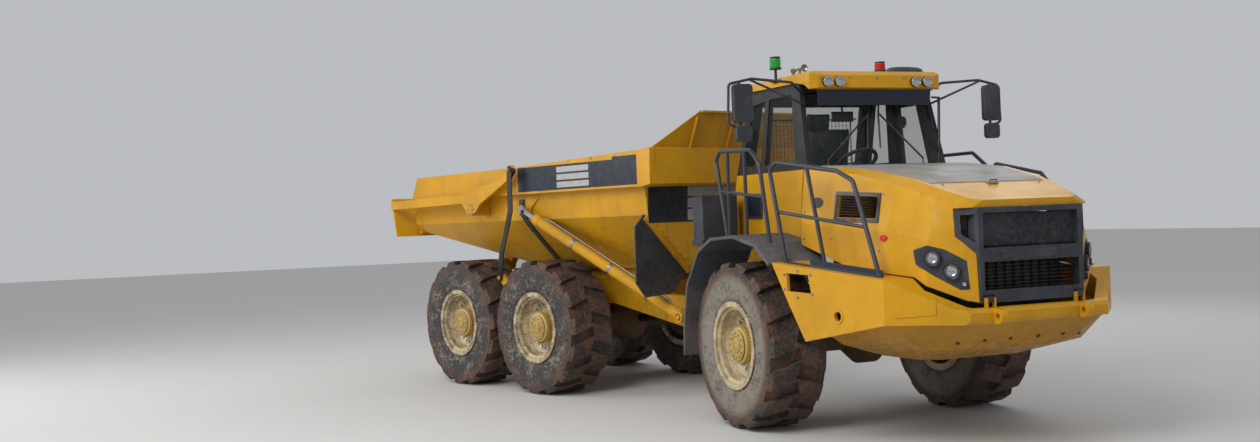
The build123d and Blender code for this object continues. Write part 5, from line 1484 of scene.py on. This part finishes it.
@dataclass
class HoodTrim:
    """Grille mesh, side vents, louvres, plates, latch and markers of the hood, and a pale grey plate on its
    top that is a painted reflection of the sky.
    """

    bench: Bench
    wire: float = 0.0032
    grille_x: float = 2.528
    grille_y: tuple[float, float] = (-0.478, 0.478)
    grille_z: tuple[float, float] = (1.702, 1.983)
    grille_pitch: float = 0.017
    vent_x: float = 2.470
    vent_y: tuple[float, float] = (0.546, 0.622)
    vent_z: tuple[float, float] = (1.745, 1.970)
    vent_pitch: float = 0.014
    slat_foot: tuple[float, float] = (2.495, 1.375)
    slat_pitch: float = 0.030
    slats: int = 8
    slat: Point = (0.955, 0.004, 0.026)
    bar_x: float = 2.5925
    bar_face: Profile = ((-0.30, 1.612), (0.30, 1.612), (0.33, 1.678), (-0.33, 1.678))
    beside: float = 1.35
    above: float = 2.9
    oval: Profile = ((0.76, 2.18), (0.94, 2.17), (0.94, 2.075), (0.76, 2.085))
    marker: Profile = ((1.825, 1.830), (1.915, 1.830), (1.915, 1.776), (1.825, 1.776))
    intake: Profile = ((1.174, 1.984), (1.154, 2.186), (1.686, 2.156), (1.726, 1.964))
    intake_rim: Profile = ((1.144, 1.954), (1.120, 2.220), (1.712, 2.186), (1.766, 1.934))
    louvre_foot: Point = (1.445, 0.965, 2.005)
    louvre_aim: Point = (1.0, -0.13, -0.06)
    louvre_pitch: float = 0.024
    louvres: int = 8
    louvre: Point = (0.50, 0.030, 0.003)
    side_bolts: Profile = (
        (0.66, 2.35), (0.66, 2.05), (0.66, 1.80), (1.12, 1.80), (1.12, 2.20), (1.74, 2.17), (1.80, 1.70))
    top_reflection_outline: Profile = ((0.66, -0.80), (2.05, -0.58), (2.05, 0.58), (0.66, 0.80))
    side_head: float = 0.009
    top_head: float = 0.008
    top_screws: Profile = tuple((x, y) for x in (0.72, 1.2, 1.7, 2.1) for y in (-0.50, 0.50))
    latch_x: float = 2.10
    latch_plate: tuple[Point, Point] = ((-0.03, -0.05, -0.004), (0.03, 0.05, 0.012))
    latch_loop: tuple[Point, ...] = (
        (0.0, -0.035, 0.0), (0.03, -0.035, 0.03), (0.03, 0.035, 0.03), (0.0, 0.035, 0.0))

    def build(self) -> None:
        """Fit out the hood and its grille."""
        bench, plastic, x = self.bench, Fit("dark_plastic", "hood", "dark_plastic"), self.bar_x
        black = Fit("trim_black", "hood", "dark_plastic")
        self.screen("grille_mesh", self.grille_x, self.grille_y, self.grille_z, self.grille_pitch)
        for side, sign in SIDES.items():
            low, high = sorted(sign * y for y in self.vent_y)
            self.screen(f"vent_mesh_{side}", self.vent_x, (low, high), self.vent_z, self.vent_pitch)
        (slat_x, slat_z), aside = self.slat_foot, Vector((0, 1, 0))
        slats = [(Vector((slat_x, 0.0, slat_z + self.slat_pitch * k)), aside) for k in range(self.slats)]
        bench.lay("lower_slats", slats, self.slat, black)
        face = Stock().sheet([(x, y, z) for y, z in self.bar_face], (0.004, 0, 0))
        face.make(bench, "grille_bar_face", plastic, bevel=0.002)
        for side, sign in SIDES.items():
            self.flank(side, sign)
        down = (0, 0, -1)
        # A pale grey plate on the hood's top: painted reflection of the sky.
        bench.skin("hood_top_painted_reflection", "hood", [(x, y, self.above) for x, y in self.top_reflection_outline], down, (24, 16),
                   0.006, Fit("painted_reflection_grey", "hood", "dark_plastic"))
        bench.bolt("hood_top_screws", "hood", [((x, y, self.above), down) for x, y in self.top_screws],
                   self.top_head, Fit("steel", "hood"))
        seat = bench.seat("hood", (self.latch_x, 0.0, self.above), down)
        if seat:
            foot = seat[0]
            latch = Stock().box(*(foot + Vector(corner) for corner in self.latch_plate))
            latch.tube([foot + Vector(bend) for bend in self.latch_loop], 0.005, 8)
            latch.make(bench, "hood_latch", Fit("steel", "hood"), bevel=0.003)

    def flank(self, side: str, sign: int) -> None:
        """Fit out one side: oval plate, marker, intake rim with its louvres, and bolts.

        Args:
            side: the side's name.
            sign: 1 on the left, -1 on the right.
        """
        bench, inward, y = self.bench, (0, -sign, 0), sign * self.beside
        bench.skin(f"oval_plate_{side}", "hood", [(x, y, z) for x, z in self.oval], inward, (12, 8), 0.004,
                   Fit("trim_black", "hood", "dark_plastic"), rounded=True)
        bench.skin(f"side_marker_{side}", "hood", [(x, y, z) for x, z in self.marker], inward, (6, 4), 0.010,
                   Fit("red_lens", "hood", "lamp"), rounded=True)
        for k in range(4):
            n = (k + 1) % 4
            corners = [(x, y, z) for x, z in (
                self.intake[k], self.intake[n], self.intake_rim[n], self.intake_rim[k])]
            bench.skin(f"intake_lip_{side}_{k + 1}", "hood", corners, inward, (6, 2), 0.010,
                       Fit("visor_navy", "hood", "dark_plastic"))
        (x, out, z), (ahead, aside, rise) = self.louvre_foot, self.louvre_aim
        louvres = [(Vector((x, sign * out, z + self.louvre_pitch * k)), Vector((ahead, sign * aside, rise)))
                   for k in range(self.louvres)]
        bench.lay(f"intake_louvres_{side}", louvres, self.louvre, Fit("dark_plastic", "hood", "dark_plastic"))
        bench.bolt(f"hood_side_bolts_{side}", "hood", [((x, y, z), inward) for x, z in self.side_bolts],
                   self.side_head, Fit("steel", "hood"))

    def screen(self, name: str, x: float, wide: tuple[float, float], tall: tuple[float, float],
               pitch: float) -> None:
        """A wire screen across the machine.

        Args:
            name: the screen's name.
            x: its place along the machine.
            wide: its edges across the machine.
            tall: its lower and upper edges.
            pitch: the distance between wires.
        """
        middle = Vector((x, sum(wide) / 2, sum(tall) / 2))
        for way, (low, high), axis, aim, length in (
                ("upright", wide, 1, Vector((0, 0, 1)), tall[1] - tall[0]),
                ("level", tall, 2, Vector((0, 1, 0)), wide[1] - wide[0])):
            places = []
            for k in range(int((high - low) / pitch) + 1):
                at = middle.copy()
                at[axis] = low + pitch * k
                places.append((at, aim))
            self.bench.lay(f"{name}_{way}", places, (length, self.wire, self.wire),
                           Fit("trim_black", "hood", "dark_plastic"))


@dataclass
class FrontTrim:
    """Skirt bolts and vent bars, fender tread, kick and cover plates, side windows and belly bolts."""

    bench: Bench
    beside: float = 1.9
    above: float = 2.6
    head: float = 0.010
    skirt_bolts: Profile = (
        (0.985, 1.37), (1.335, 1.33), (0.985, 1.50), (1.32, 1.50), (1.15, 1.30), (1.16, 1.53))
    vent_foot: Point = (1.160, 1.243, 1.365)
    vent_pitch: float = 0.022
    vent_bars: int = 6
    vent_aim: Point = (1.0, 0.0, -0.03)
    vent_bar: Point = (0.27, 0.018, 0.003)
    fender_bolts: Profile = tuple((x, y) for x in (-0.45, -0.2, 0.05) for y in (-1.22, -1.0, 1.0, 1.22, 1.40))
    tread_foot: float = -0.28
    tread_edges: tuple[float, float] = (-1.20, 1.02)
    tread_pitch: float = 0.035
    tread_count: tuple[int, int] = (16, 7)
    tread_bar: Point = (0.026, 0.007, 0.005)
    tread_lift: float = 0.002
    tread_lean: float = 0.6
    level_share: float = 0.9
    plate_z: float = 2.0
    kick_plate: Profile = ((1.18, 1.262), (2.05, 1.090), (2.05, 1.082), (1.18, 1.254))
    ledge_plate: Profile = ((0.88, 1.36), (2.04, 1.12), (2.04, 1.10), (0.88, 1.28))
    cover: tuple[Point, ...] = (
        (2.237, 1.112, 1.373), (2.462, 0.870, 1.325), (2.464, 0.868, 1.185), (2.240, 1.108, 1.160))
    cover_out: tuple[float, float] = (0.45, 0.42)
    cover_off: float = 0.3
    window_y: float = 1.3
    window: Profile = ((-0.86, 2.262), (-0.50, 2.248), (-0.52, 1.995), (-0.86, 2.000))
    pane: Profile = ((-0.83, 2.232), (-0.53, 2.220), (-0.55, 2.025), (-0.83, 2.030))
    belly_bolts: tuple[float, ...] = (-0.62, -0.40, -0.14, 0.14, 0.40, 0.62)
    belly_from: tuple[float, float] = (3.2, 1.10)
    belly_aim: Point = (-1, 0, -0.2)
    belly_head: float = 0.013

    def build(self) -> None:
        """Fit out the skirts, fenders, bumper and belly."""
        bench, down = self.bench, (0, 0, -1)
        x, out, z = self.vent_foot
        for side, sign in SIDES.items():
            rays = [((u, sign * self.beside, v), (0, -sign, 0)) for u, v in self.skirt_bolts]
            bench.bolt(f"skirt_bolts_{side}", "side_skirts", rays, self.head, Fit("steel"))
            bars = [(Vector((x, sign * out, z + self.vent_pitch * k)), Vector(self.vent_aim))
                    for k in range(self.vent_bars)]
            bench.lay(f"skirt_vent_bars_{side}", bars, self.vent_bar, Fit("trim_black"))
        bench.bolt("fender_bolts", "fenders", [((u, v, self.above), down) for u, v in self.fender_bolts],
                   self.head, Fit("steel"))
        self.tread()
        for side, sign in SIDES.items():
            self.plates(side, sign)
        x, z = self.belly_from
        bench.bolt("belly_bolts", "belly_plate", [((x, y, z), self.belly_aim) for y in self.belly_bolts],
                   self.belly_head, Fit("iron"))

    def tread(self) -> None:
        """Lay short bars that lean both ways in turn on the fenders' tops."""
        columns, rows = self.tread_count
        rays = [((self.tread_foot + self.tread_pitch * i, y + self.tread_pitch * j, self.above), (0, 0, -1))
                for i in range(columns) for j in range(rows) for y in self.tread_edges]
        lift = Vector((0, 0, self.tread_lift))
        flat = [(place + lift, Vector((1, self.tread_lean if index % 2 else -self.tread_lean, 0)))
                for index, (place, normal) in enumerate(self.bench.seats("fenders", rays, Unit.FRONT))
                if normal.z > self.level_share]
        self.bench.lay("fender_tread", flat, self.tread_bar, Fit("fender_plastic", slot="dark_plastic"))

    def plates(self, side: str, sign: int) -> None:
        """Lay one side's kick, ledge and corner plates and its small cab window.

        Args:
            side: the side's name.
            sign: 1 on the left, -1 on the right.
        """
        bench, down, navy = self.bench, (0, 0, -1), Fit("visor_navy")
        for name, outline, steps, thickness in (
                ("kick_plate", self.kick_plate, (8, 1), 0.060),
                ("ledge_plate", self.ledge_plate, (16, 1), 0.008)):
            bench.skin(f"{name}_{side}", "side_skirts",
                       [(x, sign * y, self.plate_z) for x, y in outline], down, steps, thickness, navy)
        out = Vector((self.cover_out[0], sign * self.cover_out[1], 0)).normalized()
        cover = [Vector((x, sign * y, z)) + out * self.cover_off for x, y, z in self.cover]
        bench.skin(f"corner_cover_{side}", "bumper", cover, -out, (6, 4), 0.006,
                   Fit("cab_yellow", slot="yellow_paint"))
        for name, outline, thickness, finish in (
                ("cab_side_window", self.window, 0.012, "trim_black"),
                ("cab_side_pane", self.pane, 0.016, "visor_navy")):
            bench.skin(f"{name}_{side}", "cab_frame", [(x, sign * self.window_y, z) for x, z in outline],
                       (0, -sign, 0), (4, 4), thickness, Fit(finish, slot="cab_trim"))


@dataclass
class RearTrim:
    """Bolts, hoist pipes and dark strips of the rear unit and the bin; each strip is a painted shadow line on
    the bin's side.
    """

    bench: Bench
    beside: float = 2.2
    head: float = 0.010
    band_bolts: tuple[float, ...] = (-2.55, -2.97, -3.39)
    band_z: float = 2.74
    band_head: float = 0.011
    gate_pin: tuple[float, float] = (-5.276, 2.240)
    gate_circle: float = 0.062
    corner_foot: tuple[float, float] = (0.70, 1.48)
    corner_step: float = 0.062
    corner_bolts: int = 10
    corner_from: float = -1.9
    # Outline of the dark strip on the bin's side, a painted shadow line.
    rib: Profile = ((-4.49, 2.33), (-4.41, 2.33), (-4.45, 1.58), (-4.53, 1.58))
    shadow_strip_beside: float = 1.6
    shadow_strip_proud: float = 0.028
    hoist_base: Point = (-2.150, 0.900, 0.950)
    hoist_eye: Point = (-4.345, 1.430, 2.199)
    pipe_radius: float = 0.011
    pipe_off: float = 0.077
    pipe_route: Profile = ((0.16, 0.0), (0.25, 0.012), (2.10, 0.012), (2.22, -0.006))
    clip_places: tuple[float, ...] = (0.5, 1.1, 1.7)
    clip: Profile = ((0.0655, -0.02), (0.072, -0.02), (0.072, 0.02), (0.0655, 0.02))
    clip_foot: float = 0.065
    headboard_bolts: tuple[float, ...] = (-0.80, -0.52, -0.26, 0.0, 0.26, 0.52, 0.80)
    headboard_from: tuple[float, float] = (-1.2, 2.42)
    headboard_head: float = 0.012

    def build(self) -> None:
        """Fit out the bin, tailgate and hoists."""
        yellow = Fit("bin_yellow", "bin", "yellow_paint", Unit.REAR)
        for side, sign in SIDES.items():
            self.flank(side, sign, yellow)
            self.hoist_pipe(side, sign)
        x, z = self.headboard_from
        self.bench.bolt("headboard_bolts", "headboard",
                        [((x, y, z), (-1, 0, 0)) for y in self.headboard_bolts], self.headboard_head, yellow)

    def flank(self, side: str, sign: int, yellow: Fit) -> None:
        """Fit out one side of the bin and tailgate.

        Args:
            side: the side's name.
            sign: 1 on the left, -1 on the right.
            yellow: what the bin's own bolts are fitted as.
        """
        bench, y, inward = self.bench, sign * self.beside, (0, -sign, 0)
        bench.bolt(f"band_bolts_{side}", "bin", [((x, y, self.band_z), inward) for x in self.band_bolts],
                   self.band_head, yellow)
        (x, z), radius = self.gate_pin, self.gate_circle
        bench.bolt(f"gate_pin_bolts_{side}", "tailgate", [
            ((x + radius * cos(angle), y, z + radius * sin(angle)), inward) for angle in around(6)],
            self.head, Fit("steel", "tailgate", unit=Unit.REAR))
        (out, low), step = self.corner_foot, self.corner_step
        bench.bolt(f"corner_bolts_{side}", "bin", [
            ((self.corner_from, sign * (out + step * k), low + step * k), (-1, 0, 0))
            for k in range(self.corner_bolts)], self.head, yellow)
        # A dark rubber strip down the bin's side: painted shadow line.
        y = sign * self.shadow_strip_beside
        bench.skin(f"bin_shadow_strip_{side}", "bin", [(x, y, z) for x, z in self.rib], inward, (2, 10),
                   self.shadow_strip_proud, Fit("sheet_rubber", "bin", "rubber", Unit.REAR))

    def hoist_pipe(self, side: str, sign: int) -> None:
        """Run the oil pipe along one hoist's barrel and clip it.

        Args:
            side: the side's name.
            sign: 1 on the left, -1 on the right.
        """
        base, eye, out = (Vector((x, sign * y, z))
                          for x, y, z in (self.hoist_base, self.hoist_eye, (0, 1, 0)))
        line = (eye - base).normalized()
        away = (out - line * line.dot(out)).normalized()
        up = line.cross(away).normalized() * -sign
        route = [base + line * far + up * (self.pipe_off + lift) for far, lift in self.pipe_route]
        pipe = Stock().tube(route, self.pipe_radius)
        for far in self.clip_places:
            pipe.turned(self.clip, base + line * far, line)
            foot = base + line * (far - 0.012)
            pipe.tube([foot + up * self.clip_foot, foot + up * (self.pipe_off + 0.024)], 0.009, 8)
        pipe.make(self.bench, f"hoist_pipe_{side}",
                  Fit("steel", f"hoist_barrel_{side}", unit=Unit.REAR), smooth=True)


@dataclass(frozen=True)
class Lamp:
    """A round soft lamp and what it points at."""

    name: str
    at: Point
    target: Point
    size: float
    power: float


@dataclass
class Studio:
    """Floor, light and the camera at the photograph's view."""

    camera_at: Point = (11.099, -7.041, 2.049)
    right: Point = (0.38062, 0.92391, -0.03886)
    down: Point = (-0.01312, -0.03662, -0.99924)
    forward: Point = (-0.92464, 0.38084, -0.00182)
    lens: float = 37.0
    sensor: float = 36.0
    sight: float = 400.0
    sky: Colour = (0.80, 0.82, 0.85)
    sky_strength: float = 0.62
    floor_colour: Colour = (0.62, 0.61, 0.59)
    floor_reach: float = 60.0
    lights: tuple[Lamp, ...] = (
        Lamp("key", (7.0, -9.0, 9.5), (0.5, -0.6, 1.2), 7.0, 900.0),
        Lamp("side", (-6.0, -12.0, 6.0), (-2.5, -1.0, 1.4), 6.0, 460.0),
        Lamp("back", (-7.0, 9.0, 9.0), (0.0, 0.0, 1.5), 8.0, 260.0),
    )

    def build(self) -> None:
        """Make everything that isn't part of the machine."""
        self.floor()
        self.world()
        self.lamps()
        self.camera()
        bpy.context.scene.view_settings.view_transform = "Standard"

    def floor(self) -> None:
        """Lay the plain floor."""
        mesh, reach = bpy.data.meshes.new("floor"), self.floor_reach
        mesh.from_pydata([(-reach, -reach, 0), (reach, -reach, 0), (reach, reach, 0), (-reach, reach, 0)], [],
                         [(0, 1, 2, 3)])
        floor = bpy.data.objects.new("floor", mesh)
        bpy.context.scene.collection.objects.link(floor)
        tree = Tree("floor_grey")
        soft = tree.noise(0.6, 3.0, 0.5)
        paler = tuple(channel * 1.04 for channel in self.floor_colour)
        colour = tree.mix(soft, self.floor_colour, paler)
        mesh.materials.append(tree.finish(Base_Color=colour, Roughness=0.85))

    def world(self) -> None:
        """Light the scene evenly from a pale sky."""
        world = bpy.data.worlds.new("sky")
        bpy.context.scene.world = world
        world.use_nodes = True
        background = next(node for node in world.node_tree.nodes if node.type == "BACKGROUND")
        background.inputs["Color"].default_value = (*self.sky, 1.0)
        background.inputs["Strength"].default_value = self.sky_strength

    def lamps(self) -> None:
        """Hang three soft lamps: one high in front, one at the side, one behind."""
        for light in self.lights:
            data = bpy.data.lights.new(light.name, "AREA")
            data.shape = "DISK"
            data.size = light.size
            data.energy = light.power
            lamp = bpy.data.objects.new(light.name, data)
            lamp.location = light.at
            aim = Vector(light.target) - Vector(light.at)
            lamp.rotation_euler = aim.to_track_quat("-Z", "Y").to_euler()
            bpy.context.scene.collection.objects.link(lamp)

    def camera(self) -> None:
        """Set the camera at the photograph's place."""
        data = bpy.data.cameras.new("photo_view")
        data.sensor_width = self.sensor
        data.lens = self.lens
        data.clip_end = self.sight
        camera = bpy.data.objects.new("photo_view", data)
        x, y, z = Vector(self.right), -Vector(self.down), -Vector(self.forward)
        at = Vector(self.camera_at) - PLAN_MIDDLE
        camera.matrix_world = Matrix((
            (x.x, y.x, z.x, at.x), (x.y, y.y, z.y, at.y), (x.z, y.z, z.z, at.z), (0, 0, 0, 1),
        ))
        bpy.context.scene.collection.objects.link(camera)
        bpy.context.scene.camera = camera


def main() -> None:
    """Build the machine's looks in order."""
    logging.basicConfig(level=logging.INFO, format="%(message)s")
    palette = Palette()
    Studio().build()
    CadDresser(palette).dress()
    bench = Bench(palette)
    for fitter in (WheelTrim, Headlights, RoofTrim, CabTrim, HoodTrim, FrontTrim, RearTrim):
        fitter(bench).build()
        LOG.info("finished %s", fitter.__name__)
    LOG.info("made %d pieces", bench.count)


if __name__ == "__main__":
    main()
